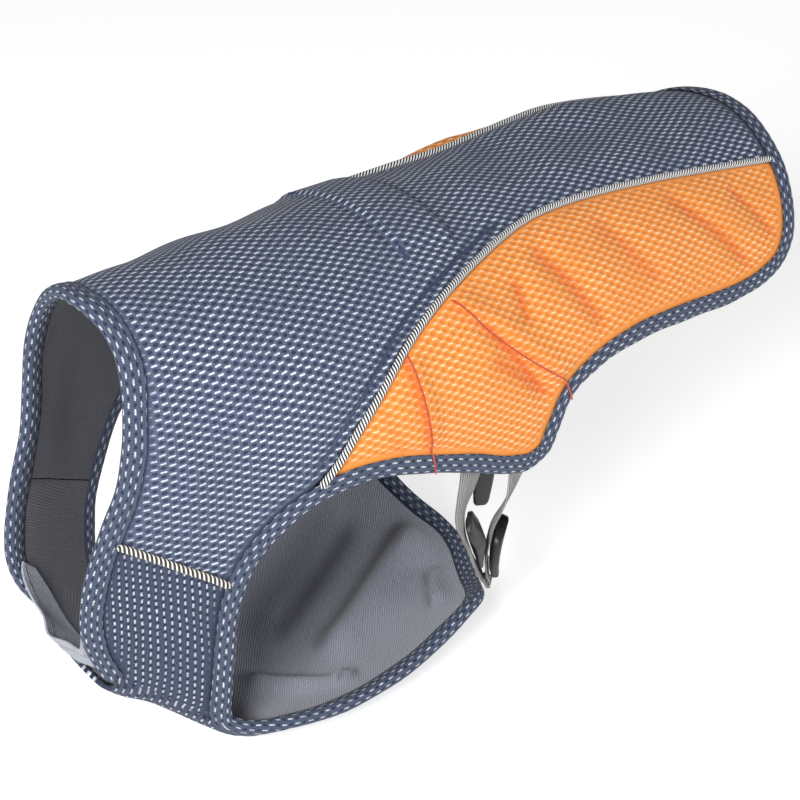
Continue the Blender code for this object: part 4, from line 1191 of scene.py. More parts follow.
def plane_area(grid: np.ndarray) -> float:
    """Area of a grid of points, each cell as two triangles."""
    a, b, c, d = grid[:-1, :-1], grid[:-1, 1:], grid[1:, 1:], grid[1:, :-1]
    if grid.shape[-1] == 2:
        u, v = c - a, d - b
        return float(np.abs(u[..., 0] * v[..., 1] - u[..., 1] * v[..., 0]).sum() / 2)
    return float(sum(np.linalg.norm(np.cross(p - a, q - a), axis=-1).sum() / 2
                     for p, q in ((b, c), (c, d))))


def declared(ob: bpy.types.Object, flat: tuple[float, float], area: float) -> None:
    """Logs the flat size and area of a sheet cut from flat cloth, sizes in millimetres."""
    LOG.info("%s: cut %.0f x %.0f mm, %.4f m2", ob.name, flat[0], flat[1], area * 1e-6)


def span(*grids: np.ndarray) -> tuple[float, float]:
    """Sizes of the rectangle around grids of the cloth's plane."""
    rows = np.concatenate([g.reshape(-1, 2) for g in grids])
    a, b = rows.max(0) - rows.min(0)
    return float(min(a, b)), float(max(a, b))


def chest_cut(cut: Cut) -> tuple[float, float]:
    """Flat size of the chest part: throat to rear edge, and round the chest."""
    girth = 2 * float(cut.form.half_girth(CHEST_X) - cut.strip[..., 1].min())
    return float(np.ptp(cut.block[..., 0])) + CHEST_TURN, girth


def superellipse(n: int, power: float) -> np.ndarray:
    """Unit outline with n points, squarer for a higher power."""
    a = np.linspace(0, 2 * math.pi, n, endpoint=False)
    c, s = np.cos(a), np.sin(a)
    return np.stack([np.sign(c) * np.abs(c)**(2 / power), np.sign(s) * np.abs(s)**(2 / power)],
                    -1)


def lofted(rings: np.ndarray) -> bpy.types.Mesh:
    """Grid closed round rings, with a cloth map of run and girth in metres."""
    rings = np.concatenate([rings, rings[:, :1]], 1)
    run = run_length(rings.mean(1))
    girth = run_length(rings[len(rings) // 2])
    uv = np.stack(np.broadcast_arrays(run[:, None], girth[None, :]), -1) * MM
    return laid(rings, {"cloth": uv})


@dataclass
class Panels:
    """The outer panels of spacer mesh: back, flanks and chest."""

    cut: Cut
    relief: Relief
    navy: bpy.types.Material
    orange: bpy.types.Material
    chest: bpy.types.Material
    wall: float = 2.0

    def build(self) -> list[bpy.types.Object]:
        """Builds the four panels."""
        return [self._back(), *(self._flank(side) for side in Side), self._chest()]

    def _mesh(self, surface: Surface, grid: np.ndarray, lift: np.ndarray, marks: np.ndarray,
              uv: np.ndarray) -> bpy.types.Mesh:
        """Mesh of a panel's grid.

        Args:
            surface: surface that its places are on.
            grid: its places.
            lift: their height over the form, mm.
            marks: painted shade and plainness for the finish.
            uv: places in the cloth for the weave, mm.
        """
        points = surface.lifted(grid, lift)
        j, i = grid.shape[0] // 2, grid.shape[1] // 2
        return laid(points, {"cloth": uv * MM, "marks": marks}, surface.normal(grid)[j, i])

    def _back(self) -> bpy.types.Object:
        """Builds the back panel."""
        grid = self.cut.back
        lift, marks = self.relief.back(grid)
        ob = Piece("back_panel", self.navy, "navy_mesh", ("shell_back",), self.wall).made(
            [self._mesh(self.cut.form.tube, grid, lift, marks, grid)])
        declared(ob, span(grid), plane_area(grid))
        return ob

    def _flank(self, side: Side) -> bpy.types.Object:
        """Builds the flank panel of a side."""
        base = self.cut.flank_grid
        lift, marks = self.relief.flank(base, side)
        grid = base * side.turn
        ob = Piece("flank_panel_" + side.label, self.orange, "orange_mesh",
                   ("shell_flank_" + side.label,), self.wall).made(
            [self._mesh(self.cut.form.tube, grid, lift, marks, grid)])
        declared(ob, span(grid), plane_area(grid))
        return ob

    def _chest(self) -> bpy.types.Object:
        """Builds the chest panel: both shoulder strips and the belly part, sewn as one."""
        form, strip, block = self.cut.form, self.cut.strip, self.cut.block
        meshes, area = [], 0.0
        for side in Side:
            grid = strip * side.turn
            lift, marks = self.relief.strip(grid)
            meshes.append(self._mesh(form.tube, grid, lift, marks, grid[..., ::-1]))
            area += plane_area(form.tube.points(grid[..., 0], grid[..., 1]))
        lift, marks = self.relief.belly(block)
        meshes.append(self._mesh(form.floor, block, lift, marks, block[..., ::-1]))
        area += plane_area(form.floor.points(block[..., 0], block[..., 1]))
        ob = Piece("chest_panel", self.chest, "navy_mesh", ("shell_chest",), self.wall,
                   weld=JOIN).made(meshes)
        declared(ob, chest_cut(self.cut), area)
        return ob


@dataclass
class Linings:
    """The rib knit linings of the body and of the chest part."""

    cut: Cut
    relief: Relief
    body: bpy.types.Material
    chest: bpy.types.Material
    wall: float = LINING
    level: float = -DEPTH

    def build(self) -> list[bpy.types.Object]:
        """Builds both linings."""
        return [self._body(), self._chest()]

    def _mesh(self, surface: Surface, grid: np.ndarray, lift: np.ndarray, uv: np.ndarray,
              marks: np.ndarray | None = None) -> bpy.types.Mesh:
        """Mesh of a lining's grid, which faces the wearer.

        Args:
            surface: surface that its places are on.
            grid: its places.
            lift: their height over the lining's level, mm.
            uv: places in the cloth for the ribs, mm.
            marks: painted shade for the finish, none if left out.
        """
        points = surface.lifted(grid, self.level + lift)
        j, i = grid.shape[0] // 2, grid.shape[1] // 2
        marks = np.zeros(grid.shape) if marks is None else marks
        return laid(points, {"cloth": uv * MM, "marks": marks}, -surface.normal(grid)[j, i])

    def _body(self) -> bpy.types.Object:
        """Builds the lining of back and flanks."""
        grid = self.cut.lining
        rim = np.minimum(self.relief.away(grid, self.relief.rim),
                         self.relief.away(grid, self.relief.collar))
        lift = 0.35 * self.relief.uneven(grid * 1.3) * ease(rim / 14)
        ob = Piece("body_lining", self.body, "grey_lining", ("lining_body",), self.wall).made(
            [self._mesh(self.cut.form.tube, grid, lift, grid)])
        declared(ob, span(grid), plane_area(grid))
        return ob

    def _chest(self) -> bpy.types.Object:
        """Builds the lining of the chest part, with its creases and their painted shade."""
        form, strip, block = self.cut.form, self.cut.strip, self.cut.block
        meshes, area = [], 0.0
        for side in Side:
            grid = strip * side.turn
            flat = np.zeros(grid.shape[:-1])
            # painted shade over the whole lining of the shoulder strips
            marks = np.stack([flat + 0.9, flat], -1)
            meshes.append(self._mesh(form.tube, grid, flat, grid, marks))
            area += plane_area(form.tube.points(grid[..., 0], grid[..., 1]))
        rim = ease(self.relief.away(block, self.relief.belly_rim) / 12)
        wave, shade = self.relief.folds("floor", block)
        lift = (0.35 * self.relief.uneven(block * 1.4)) * rim - wave * rim
        # painted shade in the folds, and more of it toward the chest's front
        shade = np.maximum(shade * rim, 0.9 * ease((-36 - block[..., 0]) / 24))
        marks = np.stack([shade, 0 * shade], -1)
        meshes.append(self._mesh(form.floor, block, lift, block, marks))
        area += plane_area(form.floor.points(block[..., 0], block[..., 1]))
        ob = Piece("chest_lining", self.chest, "grey_lining", ("lining_chest",), self.wall,
                   weld=JOIN).made(meshes)
        declared(ob, chest_cut(self.cut), area)
        return ob


@dataclass
class Bindings:
    """Bias cut strips folded over the raw edges."""

    cut: Cut
    finish: bpy.types.Material
    wall: float = 0.45
    step: float = 2.2                         # mm between stations
    fan: int = 7                              # rings round the tight corner
    profile: tuple = ((9.5, 0.05), (9.15, 0.5), (8.5, 0.5), (7.9, 0.28), (7.2, 0.6),
                      (5.4, 0.98), (3.4, 1.0), (1.6, 0.65), (0.4, -0.35), (-0.3, -1.5),
                      (-0.3, 1.5 - DEPTH), (0.4, 0.3 - DEPTH), (1.6, -0.6 - DEPTH),
                      (3.6, -0.9 - DEPTH), (6.6, -0.8 - DEPTH), (9.5, -0.1 - DEPTH))

    def build(self) -> list[bpy.types.Object]:
        """Builds the binding of the outer edge and of the neck."""
        return [self._outer(), self._neck()]

    def _rings(self, line: Line, stations: np.ndarray, side: Side) -> np.ndarray:
        """Rings of the folded strip at stations of a line."""
        rows = []
        for by, lift in self.profile:
            places = line.at(stations, by) * side.turn
            rows.append(line.surface.lifted(places, lift))
        return np.stack(rows, 1)

    def _stations(self, line: Line, last: float | None = None) -> np.ndarray:
        """Even stations along a line, in steps of about the set size."""
        last = len(line.line) - 1.0 if last is None else last
        points = line.surface.points(line.line[:, 0], line.line[:, 1])[:int(last) + 1]
        run = run_length(points)
        count = int(run[-1] / self.step)
        return np.interp(np.linspace(0, run[-1], count + 1), run, np.arange(len(run)))

    def _corner(self, a: np.ndarray, b: np.ndarray) -> np.ndarray:
        """Rings that fan from ring a to ring b round their common edge point."""
        out = []
        for t in np.linspace(0, 1, self.fan + 2)[1:-1]:
            centre = (1 - t) * a[9] + t * b[9]
            line = (1 - t) * a + t * b
            reach = ((1 - t) * np.linalg.norm(a - a[9], axis=1)
                     + t * np.linalg.norm(b - b[9], axis=1))
            out.append(centre + unit(line - centre) * reach[:, None])
        return np.array(out)

    def _half(self, side: Side) -> np.ndarray:
        """Rings from the middle of the belly plate's rear edge to the tail's middle."""
        cut = self.cut
        under = self._stations(cut.plate, cut.f_mid)[1:]
        upper = self._stations(cut.outer)
        low, high = self._rings(cut.plate, under, side)[::-1], self._rings(cut.outer, upper, side)
        return np.concatenate([low, self._corner(low[-1], high[0]), high])

    def _strip(self, rings: np.ndarray, name: str, node: str) -> bpy.types.Object:
        """Builds a binding from its rings.

        Args:
            rings: rings of the folded strip in order.
            name: name of the piece.
            node: node of the CAD that it replaces.
        """
        run = run_length(rings[:, 9])
        across = np.concatenate([[0], np.cumsum(np.linalg.norm(
            np.diff(np.array(self.profile), axis=0), axis=1))])
        uv = np.stack(np.broadcast_arrays(run[:, None], across[None, :]), -1) * MM
        marks = np.zeros(uv.shape)
        # painted shade along both long edges, where the strip meets the cloth
        marks[:, [0, -1], 0] = 0.8
        middle = len(rings) // 2
        outward = rings[middle, 8] - rings[middle].mean(0)
        ripple = 0.12 * np.sin(run / 5.1)[:, None, None]
        rings = rings + ripple * unit(rings - rings.mean(1)[:, None])
        ob = Piece(name, self.finish, "navy_binding", (node,), self.wall).made(
            [laid(rings, {"cloth": uv, "marks": marks}, outward)])
        declared(ob, (float(across[-1]), float(run[-1])), float(across[-1] * run[-1]))
        return ob

    def _outer(self) -> bpy.types.Object:
        """Builds the binding once round tail, flanks, leg openings and belly plate."""
        left, right = self._half(Side.LEFT), self._half(Side.RIGHT)
        left, right = left[:-1], right[1:]
        rings = np.concatenate([left, right[::-1]])
        rings = np.concatenate([rings, rings[:1]])
        return self._strip(rings, "outer_binding", "binding_outer")

    def _neck(self) -> bpy.types.Object:
        """Builds the binding of the neck opening, its ends turned in."""
        stations = self._stations(self.cut.neck)
        left = self._rings(self.cut.neck, stations, Side.LEFT)
        right = self._rings(self.cut.neck, stations, Side.RIGHT)
        rings = np.concatenate([right[::-1][:-1], left])
        first, last = (ring.mean(0) + 0.12 * (ring - ring.mean(0)) for ring in rings[[0, -1]])
        rings = np.concatenate([[first], rings, [last]])   # the ends are turned in
        return self._strip(rings, "neck_binding", "binding_neck")


@dataclass
class Cords:
    """Twisted cords in the seams: piping down the sides and tape on the shoulders."""

    cut: Cut
    relief: Relief
    piping: bpy.types.Material
    tape: bpy.types.Material
    around: int = 40

    def build(self) -> list[bpy.types.Object]:
        """Builds both cords of both sides."""
        made = []
        for side in Side:
            made += [self._piping(side), self._tape(side)]
        return made

    def _rope(self, line: Line, first: float, last: float, side: Side, rise: float,
              half: tuple[float, float], lobes: int, lead: float,
              step: float = 0.45) -> bpy.types.Mesh:
        """Mesh of a laid cord.

        Args:
            line: line that it follows.
            first: first station.
            last: last station.
            side: side of the vest.
            rise: level of its middle over the form.
            half: half width in the cloth and half height, mm.
            lobes: number of its strands.
            lead: one turn of a strand, mm, negative for the other twist.
            step: distance of its rings, mm.
        """
        count = int(abs(last - first) * 0.5 / step)
        middle = line.at(np.linspace(first, last, count + 1)) * side.turn
        points = line.surface.lifted(middle, rise)
        out = line.surface.normal(middle)
        across = unit(np.cross(out, np.gradient(points, axis=0)))
        run = run_length(points)
        turn = np.linspace(0, 1, self.around + 1)[None, :]
        phase = lobes * (turn - run[:, None] / lead)
        swell = 1.0 + 0.05 * np.cos(2 * math.pi * phase)
        ends = np.minimum(run, run[-1] - run)[:, None]
        swell = swell * (0.55 + 0.45 * ease(ends / 1.6))
        angle = 2 * math.pi * turn
        rings = (points[:, None]
                 + (half[1] * np.cos(angle) * swell)[..., None] * out[:, None]
                 + (half[0] * np.sin(angle) * swell)[..., None] * across[:, None])
        uv = np.stack(np.broadcast_arrays(run[:, None] * MM, turn), -1)
        return laid(rings, {"cloth": uv})

    def _piping(self, side: Side) -> bpy.types.Object:
        """Builds the piping between the back and a flank."""
        cut = self.cut
        mesh = self._rope(cut.piping, cut.p_front + 1.0, cut.p_rear - 1.0, side, PIPING_RISE,
                          (PIPING_RADIUS, PIPING_RADIUS), 8, 6.5)
        return Piece("side_piping_" + side.label, self.piping, "rope_piping",
                     ("piping_" + side.label,), capping=Capping.FILLED,
                     weld=0.01).made([mesh])

    def _tape(self, side: Side) -> bpy.types.Object:
        """Builds the cord tape of a shoulder seam."""
        cut = self.cut
        mesh = self._rope(cut.tape, cut.t_front + 0.5, cut.t_rear - 0.5, side, TAPE_RISE,
                          (TAPE_WIDTH / 2, 1.1), 6, -6.6)
        return Piece("shoulder_cord_" + side.label, self.tape, "rope_piping",
                     ("shoulder_tape_" + side.label,), capping=Capping.FILLED,
                     weld=0.01).made([mesh])


@dataclass
class SeamLines:
    """Fine sewn lines: quilting above the piping and the darts of the flanks. The quilting line
    is dark also as painted shade of the crease it lies in.
    """

    cut: Cut
    relief: Relief
    navy: bpy.types.Material
    red: bpy.types.Material
    width: float = 1.0
    stitch: float = 2.6                       # mm, length of a stitch with its gap

    def build(self) -> list[bpy.types.Object]:
        """Builds the lines of both sides."""
        made = []
        for side in Side:
            made.append(Piece("quilting_" + side.label, self.navy, "navy_mesh",
                              capping=Capping.FILLED, weld=0.01).made(
                [self._line(curve(self.relief.channel[::8], 0.5), side, self._back_lift)]))
            made.append(Piece("dart_seams_" + side.label, self.red, "orange_mesh",
                              capping=Capping.FILLED, weld=0.01).made(
                [self._line(curve(rows, 0.5), side, self._flank_lift) for rows in DARTS]
                + [self._line(self._across_edge(rows[-1], foot), side, self._edge_lift)
                   for rows, foot in zip(DARTS, DART_FEET)]))
        return made

    def _across_edge(self, start: tuple, foot: tuple) -> np.ndarray:
        """Places of a dart's seam where it crosses the binding to its foot on the edge."""
        edge = self.cut.form.from_side([foot])[0]
        share = np.linspace(0.0, 0.93, 24)[:, None]
        return np.array(start) * (1 - share) + edge * share

    @staticmethod
    def _edge_lift(places: np.ndarray, side: Side) -> np.ndarray:
        """Height of a seam that climbs over the binding."""
        share = np.linspace(0, 1, len(places))
        return 0.3 + 0.95 * np.sin(math.pi * np.clip(0.12 + 0.8 * share, 0, 1))**0.6

    def _back_lift(self, places: np.ndarray, side: Side) -> np.ndarray:
        """Height of the quilting line on the back panel."""
        return self.relief.back(places * side.turn)[0] + 0.25

    def _flank_lift(self, places: np.ndarray, side: Side) -> np.ndarray:
        """Height of a dart's seam on a flank panel."""
        return self.relief.flank(places, side)[0] + 0.05

    def _line(self, places: np.ndarray, side: Side, lift: Callable) -> bpy.types.Mesh:
        """Low thread line along left side places."""
        surface = self.cut.form.tube
        height = lift(places, side)
        points = surface.lifted(places * side.turn, height)
        out = surface.normal(places * side.turn)
        across = unit(np.cross(out, np.gradient(points, axis=0)))
        run = run_length(points)
        beat = 0.8 + 0.2 * np.abs(np.sin(math.pi * run / self.stitch))
        shape = superellipse(10, 2.0)
        rings = (points[:, None]
                 + (shape[None, :, 0] * beat[:, None] * self.width / 2)[..., None]
                 * across[:, None]
                 + (shape[None, :, 1] * beat[:, None] * 0.28)[..., None] * out[:, None])
        return lofted(rings)


@dataclass
class BackBand:
    """Band of the shell's mesh across the back, with its four bar tacks."""

    cut: Cut
    relief: Relief
    finish: bpy.types.Material
    thread: bpy.types.Material
    wall: float = 0.9
    sunk: float = -0.4                        # mm, level of its seams under the back's

    def build(self) -> list[bpy.types.Object]:
        """Builds the band and the bar tacks."""
        made = [self._band()]
        for side in Side:
            for (x, d), place in zip(TACKS, ("front", "rear")):
                made.append(self._tack(x, d, place, side))
        return made

    def _swell(self, x: Values, d: Values) -> np.ndarray:
        """Height of the band over the back: it rises from seams sunk in the mesh."""
        edge = np.minimum(x - FLAP_X[0], FLAP_X[1] - x)
        fade = ease((FLAP_HALF - np.abs(d)) / 11)
        return (BAND_RISE - self.sunk) * ease(edge / 7) * fade + self.sunk

    def _band(self) -> bpy.types.Object:
        """Builds the band, which swells between its seams."""
        surface = self.cut.form.tube
        x, d = np.meshgrid(np.linspace(*FLAP_X, 40), np.linspace(-FLAP_HALF, FLAP_HALF, 90))
        grid = np.stack([x, d], -1)
        edge = np.minimum(x - FLAP_X[0], FLAP_X[1] - x)
        lift, _ = self.relief.back(grid)
        lift = lift + self._swell(x, d) + 0.12 * self.relief.uneven(grid * 1.6)
        # painted shade along the creases at the band's seams
        shade = 0.6 * bell(edge - 1.4, 1.0) * ease((FLAP_HALF - 3 - np.abs(d)) / 6)
        marks = np.stack([shade, 0 * shade], -1)
        points = surface.lifted(grid, lift)
        mesh = laid(points, {"cloth": grid * MM, "marks": marks}, surface.normal(grid)[45, 20])
        ob = Piece("plain_band", self.finish, "navy_mesh", ("back_band",), self.wall).made(
            [mesh])
        declared(ob, span(grid), plane_area(grid))
        return ob

    def _tack(self, x: float, d: float, place: str, side: Side) -> bpy.types.Object:
        """Builds the close zigzag stitches over a corner of the band.

        Args:
            x: place along the spine.
            d: distance from the spine.
            place: front or rear, for its names.
            side: side of the vest.
        """
        surface, lines = self.cut.form.tube, 9
        long, wide = TACK_SIZE[1], TACK_SIZE[0]
        rows, cols = lines * 8 + 1, 9
        v, u = np.meshgrid(np.linspace(0, 1, rows), np.linspace(-1, 1, cols), indexing="ij")
        grid = np.stack([x + u * wide / 2 + 0.25 * np.sin(v * lines * math.pi),
                         d + (v - 0.5) * long], -1) * side.turn
        ground = np.maximum(self._swell(grid[..., 0], grid[..., 1]), 0.0)
        lift = (self.relief.back(grid)[0] + ground + 0.15 + 0.4 * (1 - u**4)
                + 0.14 * np.cos(2 * math.pi * v * lines))
        ends = np.minimum(v, 1 - v) * long
        lift = lift - 0.6 * (1 - ease(ends / 0.9))
        points = surface.lifted(grid, lift)
        mesh = laid(points, {"cloth": grid * MM}, surface.normal(grid)[rows // 2, cols // 2])
        return Piece("bar_stitch_%s_%s" % (place, side.label), self.thread, "navy_mesh",
                     ("bar_tack_%s_%s" % (place, side.label),), 0.6).made([mesh])


@dataclass
class ThroatKnit:
    """Stretch gusset in the throat, with its fold."""

    cut: Cut
    relief: Relief
    finish: bpy.types.Material

    def build(self) -> bpy.types.Object:
        """Builds the gusset."""
        surface = self.cut.form.hoop
        c = np.linspace(-GUSSET_HALF, GUSSET_HALF, 121)[:, None]
        share = np.linspace(0, 1, 33)[None, :]
        free = GUSSET_X[0] + 4.0 * (c / GUSSET_HALF)**4
        sewn = GUSSET_X[1] - 9.0 * (np.abs(c) / GUSSET_HALF)**3
        grid = np.stack([free * (1 - share) + sewn * share, c + 0 * share], -1)
        fold, _ = self.relief.folds("gusset", grid)
        lift = GUSSET_LIFT + fold * ease((0.85 - share) / 0.35)
        lift = lift + 0.25 * self.relief.uneven(grid * 2.2)
        hem = bell((share - 0.16) * 19, 0.8)
        lift = lift - 0.3 * hem
        points = surface.lifted(grid, lift)
        # painted shade along the hem's groove
        marks = np.stack([0.5 * hem + 0 * c, 0 * (c + share)], -1)
        mesh = laid(points, {"cloth": grid[..., ::-1] * MM, "marks": marks},
                    surface.normal(grid)[60, 16])
        ob = Piece("throat_knit", self.finish, "pale_stretch", ("throat_gusset",),
                   GUSSET_THICK).made([mesh])
        declared(ob, span(grid), plane_area(grid))
        return ob


@dataclass
class BellyStraps:
    """Webbing loops that hold the belly part, with their plastic hardware."""

    form: VestForm
    web: bpy.types.Material
    plastic: bpy.types.Material
    thread: bpy.types.Material
    step: float = 1.3

    def __post_init__(self) -> None:
        """Works out the path and its directions."""
        self.path = curve(STRAP, self.step)
        self.turned = unit(np.array(TOWARDS))
        turn = self.path[:, 3:4]
        width = unit((1 - turn) * np.array([-1.0, 0.0, 0.0]) + turn * self.turned)
        ahead = unit(np.gradient(self.path[:, :3], axis=0))
        self.width = unit(width - ahead * (width * ahead).sum(1, keepdims=True))
        self.face = np.cross(ahead, self.width)
        self.back = int(np.argmin(self.path[:, 2]))

    def build(self) -> list[bpy.types.Object]:
        """Builds both straps."""
        made = []
        for side in Side:
            made += [self._web(side), self._tab(side)]
            for name, rings in (("socket", self._along(SOCKET, True)),
                                ("slider", self._along(SLIDER, False)),
                                ("plug", self._plug())):
                made.append(self._hard(name, rings, side))
        return made

    def _section(self, wide: float, thick: float) -> np.ndarray:
        """Outline of webbing with ribs on both faces: across, out of the face."""
        a = np.linspace(-1, 1, 23)
        edge = thick / 2 * np.sqrt(np.clip(1 - np.abs(a)**8, 0.05, 1))
        rib = 0.07 * np.cos(a * math.pi * 9)
        top = np.stack([a * wide / 2, edge + rib], -1)
        low = np.stack([a * wide / 2, -edge - rib], -1)[::-1]
        return np.concatenate([top, low])

    def _web(self, side: Side) -> bpy.types.Object:
        """Builds the webbing loop of a side."""
        shape = self._section(WEB_WIDTH, WEB_THICK)
        rings = (self.path[:, None, :3] + self.width[:, None] * shape[None, :, :1]
                 + self.face[:, None] * shape[None, :, 1:])
        return Piece("belly_web_" + side.label, self.web, "grey_webbing",
                     ("strap_web_" + side.label,), capping=Capping.FILLED,
                     weld=0.005).made([lofted(self.form.on_side(rings, side))])

    def _tab(self, side: Side) -> bpy.types.Object:
        """Builds the short webbing that anchors a strap on the belly plate."""
        tab = curve(TAB, 1.2)
        places = tab[:, :2] * side.turn
        low = self.form.floor.lifted(places, tab[:, 2])
        out = self.form.floor.normal(places)
        reach = unit(np.cross(out, np.gradient(low, axis=0)))
        shape = self._section(TAB_WIDTH, 1.2)
        rings = (low[:, None] + reach[:, None] * shape[None, :, :1]
                 + out[:, None] * shape[None, :, 1:])
        return Piece("anchor_tab_" + side.label, self.web, "grey_webbing",
                     ("strap_tab_" + side.label,), capping=Capping.FILLED,
                     weld=0.005).made([lofted(rings)])

    @staticmethod
    def _ring(centre: np.ndarray, across: np.ndarray, deep: np.ndarray, wide: float,
              thick: float) -> np.ndarray:
        """Rounded rectangle of a size around a centre."""
        shape = superellipse(28, 5.0) / 2
        return centre + shape[:, :1] * wide * across + shape[:, 1:] * thick * deep

    def _along(self, bar: tuple, outside: bool) -> np.ndarray:
        """Rings of a moulded bar that lies along the webbing.

        Args:
            bar: its row of sizes.
            outside: whether it lies on the loop's outer run.
        """
        ends, *sizes = bar
        part = slice(self.back, None) if outside else slice(None, self.back)
        stretch, faces, widths = self.path[part], self.face[part], self.width[part]
        share = (stretch[:, 2] - ends[0]) / (ends[1] - ends[0])
        inside = [k for k in range(len(stretch)) if 0 <= share[k] <= 1]
        reach = len(inside) * self.step
        rings, sign = [], 1.0 if outside else -1.0
        for k in inside:
            t = share[k]
            thick, wide = (np.interp(t, [0, 0.45, 1], [r[c] for r in sizes]) for c in (0, 1))
            room = WEB_THICK / 2 + SEAM + 0.75
            end = min(t, 1 - t) * reach
            scale = 0.72 + 0.28 * float(ease(end / 2.2))
            groove = 1.0 - 0.10 * math.exp(-((abs(t - 0.5) * reach - 3.4) / 0.9)**2)
            centre = stretch[k, :3] + faces[k] * sign * (room + thick / 2)
            rings.append(self._ring(centre, widths[k], faces[k], wide * scale,
                                    thick * (1 + scale) / 2 * groove))
        return np.array(rings)

    def _plug(self) -> np.ndarray:
        """Rings of the tapered plug."""
        a, b, thick0, wide0, thick1, wide1 = PLUG
        a, b = np.array(a), np.array(b)
        axis = unit(b - a)
        wide = unit(self.turned - axis * (self.turned @ axis))
        thin = np.cross(axis, wide)
        reach = float(np.linalg.norm(b - a))
        rings = []
        for t in np.linspace(0, 1, 23):
            end = min(t, 1 - t) * reach
            scale = 0.78 + 0.22 * float(ease(end / 1.6))
            groove = 1.0 - 0.08 * math.exp(-((t * reach - 6.0) / 0.8)**2)
            rings.append(self._ring(a + (b - a) * t, wide, thin,
                                    (wide0 + (wide1 - wide0) * t) * scale,
                                    (thick0 + (thick1 - thick0) * t) * scale * groove))
        return np.array(rings)

    def _hard(self, name: str, rings: np.ndarray, side: Side) -> bpy.types.Object:
        """Builds a moulded part from its rings."""
        return Piece("%s_%s" % (name, side.label), self.plastic, "black_plastic",
                     ("buckle_%s_%s" % (name, side.label),), capping=Capping.FILLED,
                     weld=0.005).made([lofted(self.form.on_side(rings, side))])


@dataclass
class Studio:
    """Pale floor, soft lights and the camera at the photograph's angle."""

    floor_level: float = -219.6               # mm
    lens: float = 108.9                       # mm, on a film 36 mm wide
    position: tuple[float, float, float] = (-0.5654, -0.7355, 0.4744)
    aim: tuple[float, float, float] = (0.08, 0.0, -0.1)
    surround: float = 0.28                    # strength of the white world
    glow: float = 0.62                        # of the paper, so it burns out to white
    lights: tuple = (("key", (-1.0, -0.6, 0.65), 0.6, 28.0),
                     ("fill", (0.75, -1.2, 0.25), 0.9, 8.0))

    def build(self) -> None:
        """Builds floor, world, lights and camera."""
        self._floor()
        self._world()
        for name, place, size, power in self.lights:
            self._light(name, place, size, power)
        self._camera()

    def _floor(self) -> None:
        """Builds the floor of matt paper."""
        bm = bmesh.new()
        bmesh.ops.create_grid(bm, x_segments=8, y_segments=8, size=6.0)
        bmesh.ops.translate(bm, verts=bm.verts, vec=(0, 0, self.floor_level * MM))
        mesh = bpy.data.meshes.new("studio_floor")
        bm.to_mesh(mesh)
        bm.free()
        b = Bench("matt_paper_backdrop")
        place = b.add("TexCoord", out=3)
        tooth = b.add("TexNoise", {"Vector": place, "Scale": 900.0, "Detail": 2.0})
        tone = b.ramp(tooth, 0.0, 1.0, 0.985, 1.0)
        base = b.mix(tone, "C8C8C8", "CECECE")
        mesh.materials.append(b.done({"Base Color": base, "Roughness": 0.9,
                                      "Specular IOR Level": 0.2,
                                      "Emission Color": (1.0, 1.0, 1.0, 1.0),
                                      "Emission Strength": self.glow}))
        ob = bpy.data.objects.new("studio_floor", mesh)
        bpy.context.scene.collection.objects.link(ob)

    def _world(self) -> None:
        """Builds the even white surround."""
        world = bpy.data.worlds.new("studio_world")
        world.use_nodes = True
        sky = world.node_tree.nodes["Background"]
        sky.inputs["Color"].default_value = (1.0, 1.0, 1.0, 1.0)
        sky.inputs["Strength"].default_value = self.surround
        bpy.context.scene.world = world
        bpy.context.scene.view_settings.view_transform = "Standard"

    def _light(self, name: str, place: tuple, size: float, power: float) -> None:
        """Builds a round soft light, metres and watts, turned to the vest."""
        data = bpy.data.lights.new(name, "AREA")
        data.shape, data.size, data.energy = "DISK", size, power
        ob = bpy.data.objects.new(name, data)
        toward = Vector(self.aim) - Vector(place)
        ob.matrix_world = (Matrix.Translation(place)
                           @ toward.to_track_quat("-Z", "Y").to_matrix().to_4x4())
        bpy.context.scene.collection.objects.link(ob)

    def _camera(self) -> None:
        """Builds the camera where the photograph was taken from."""
        data = bpy.data.cameras.new("photo_camera")
        data.lens, data.sensor_width, data.sensor_fit = self.lens, 36.0, "HORIZONTAL"
        data.clip_start, data.clip_end = 0.05, 20.0
        ob = bpy.data.objects.new("photo_camera", data)
        ob.matrix_world = (Matrix.Translation(self.position)
                           @ Matrix(VIEW).transposed().to_4x4())
        bpy.context.scene.collection.objects.link(ob)
        bpy.context.scene.camera = ob


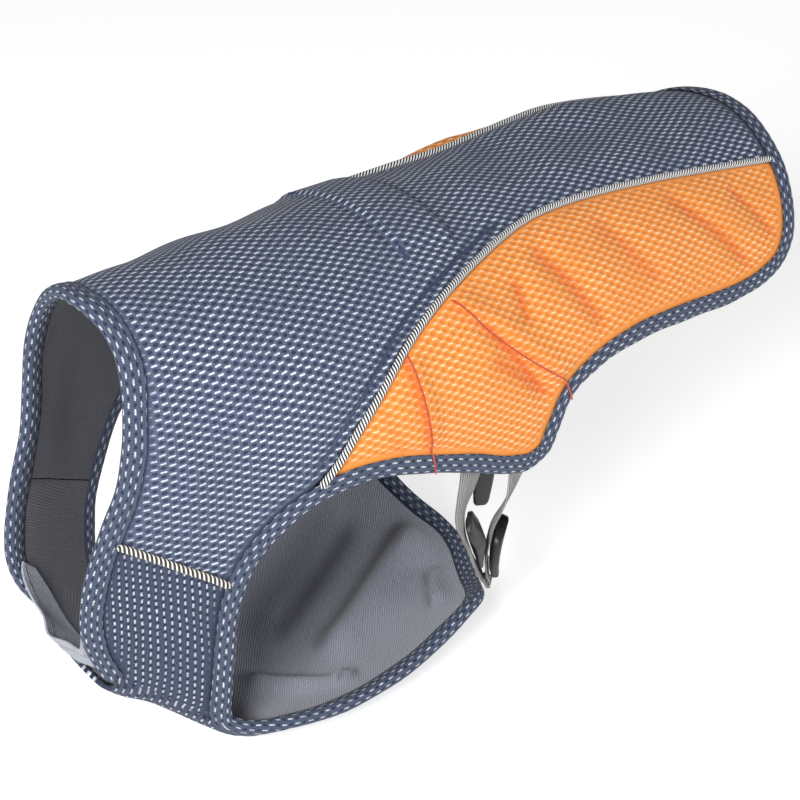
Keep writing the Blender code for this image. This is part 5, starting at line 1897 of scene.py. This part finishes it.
def main() -> None:
    """Builds the vest over its frame."""
    form = VestForm()
    cut = Cut(form, Counts())
    relief = Relief(cut)
    # spacer meshes: name, ground, floats, then the painted shade colours of the holes and of
    # grooves, creases and troughs
    navy = SpacerMesh("navy_polyester_spacer_mesh", "515D76", "ECF0F8", "161C30",
                      "131A2E", dash=(1.9, 0.9), strength=0.95, even=0.45).dress()
    orange = SpacerMesh("orange_polyester_spacer_mesh", "D4883D", "F2D4AE", "C86A22",
                        "C24A10", strength=0.95, specks=0.7, bump=0.4).dress()
    chest = SpacerMesh("chest_polyester_spacer_mesh", "39435A", "D4D9E2", "141A2C",
                       "10162A", cell=(3.8, 5.6), dash=(1.2, 0.8), opening=(0.7, 0.7),
                       strength=0.95).dress()
    edge = SpacerMesh("navy_bias_binding", "465066", "E8EBF0", "141A2A", "0C1220",
                      cell=(6.0, 5.4), dash=(1.7, 0.8), opening=(0.9, 0.6),
                      strength=0.98, even=0.25).dress()
    # rib knits: name, ridges, furrows, then the painted shade colour where given
    body = RibKnit("dark_grey_rib_knit", "43454F", "252733", pitch=1.1).dress()
    lining = RibKnit("grey_rib_knit", "9599A4", "666976", "282A34", pitch=1.2,
                     heading=49.0).dress()
    knit = RibKnit("pale_stretch_knit", "9B9EA8", "7A7D89", "494C59", pitch=0.9).dress()
    rope = TwistedCord("black_and_white_laid_cord", "E8E8E8", "0A0B10").dress()
    tape = TwistedCord("dark_and_cream_laid_cord", "D8D2C4", "16181F", lead=-6.6,
                       strands=6).dress()
    web = Webbing("grey_polyester_webbing", "9C9B98", "3F3E40").dress()
    plastic = MouldedPlastic("black_moulded_acetal", "0E0F11", "222327").dress()
    blue = Thread("navy_bar_tack_thread", "2B3558", "1A2140").dress()
    # quilting thread, dark also as painted shade of the crease it lies in
    dark = Thread("dark_navy_quilting_thread", "2C3A62", "131C38").dress()
    red = Thread("deep_orange_dart_thread", "B8401A", "84240E").dress()
    Panels(cut, relief, navy, orange, chest).build()
    Linings(cut, relief, body, lining).build()
    Bindings(cut, edge).build()
    Cords(cut, relief, rope, tape).build()
    SeamLines(cut, relief, dark, red).build()
    BackBand(cut, relief, navy, blue).build()
    ThroatKnit(cut, relief, knit).build()
    BellyStraps(form, web, plastic, dark).build()
    Studio().build()


if __name__ == "__main__":
    main()
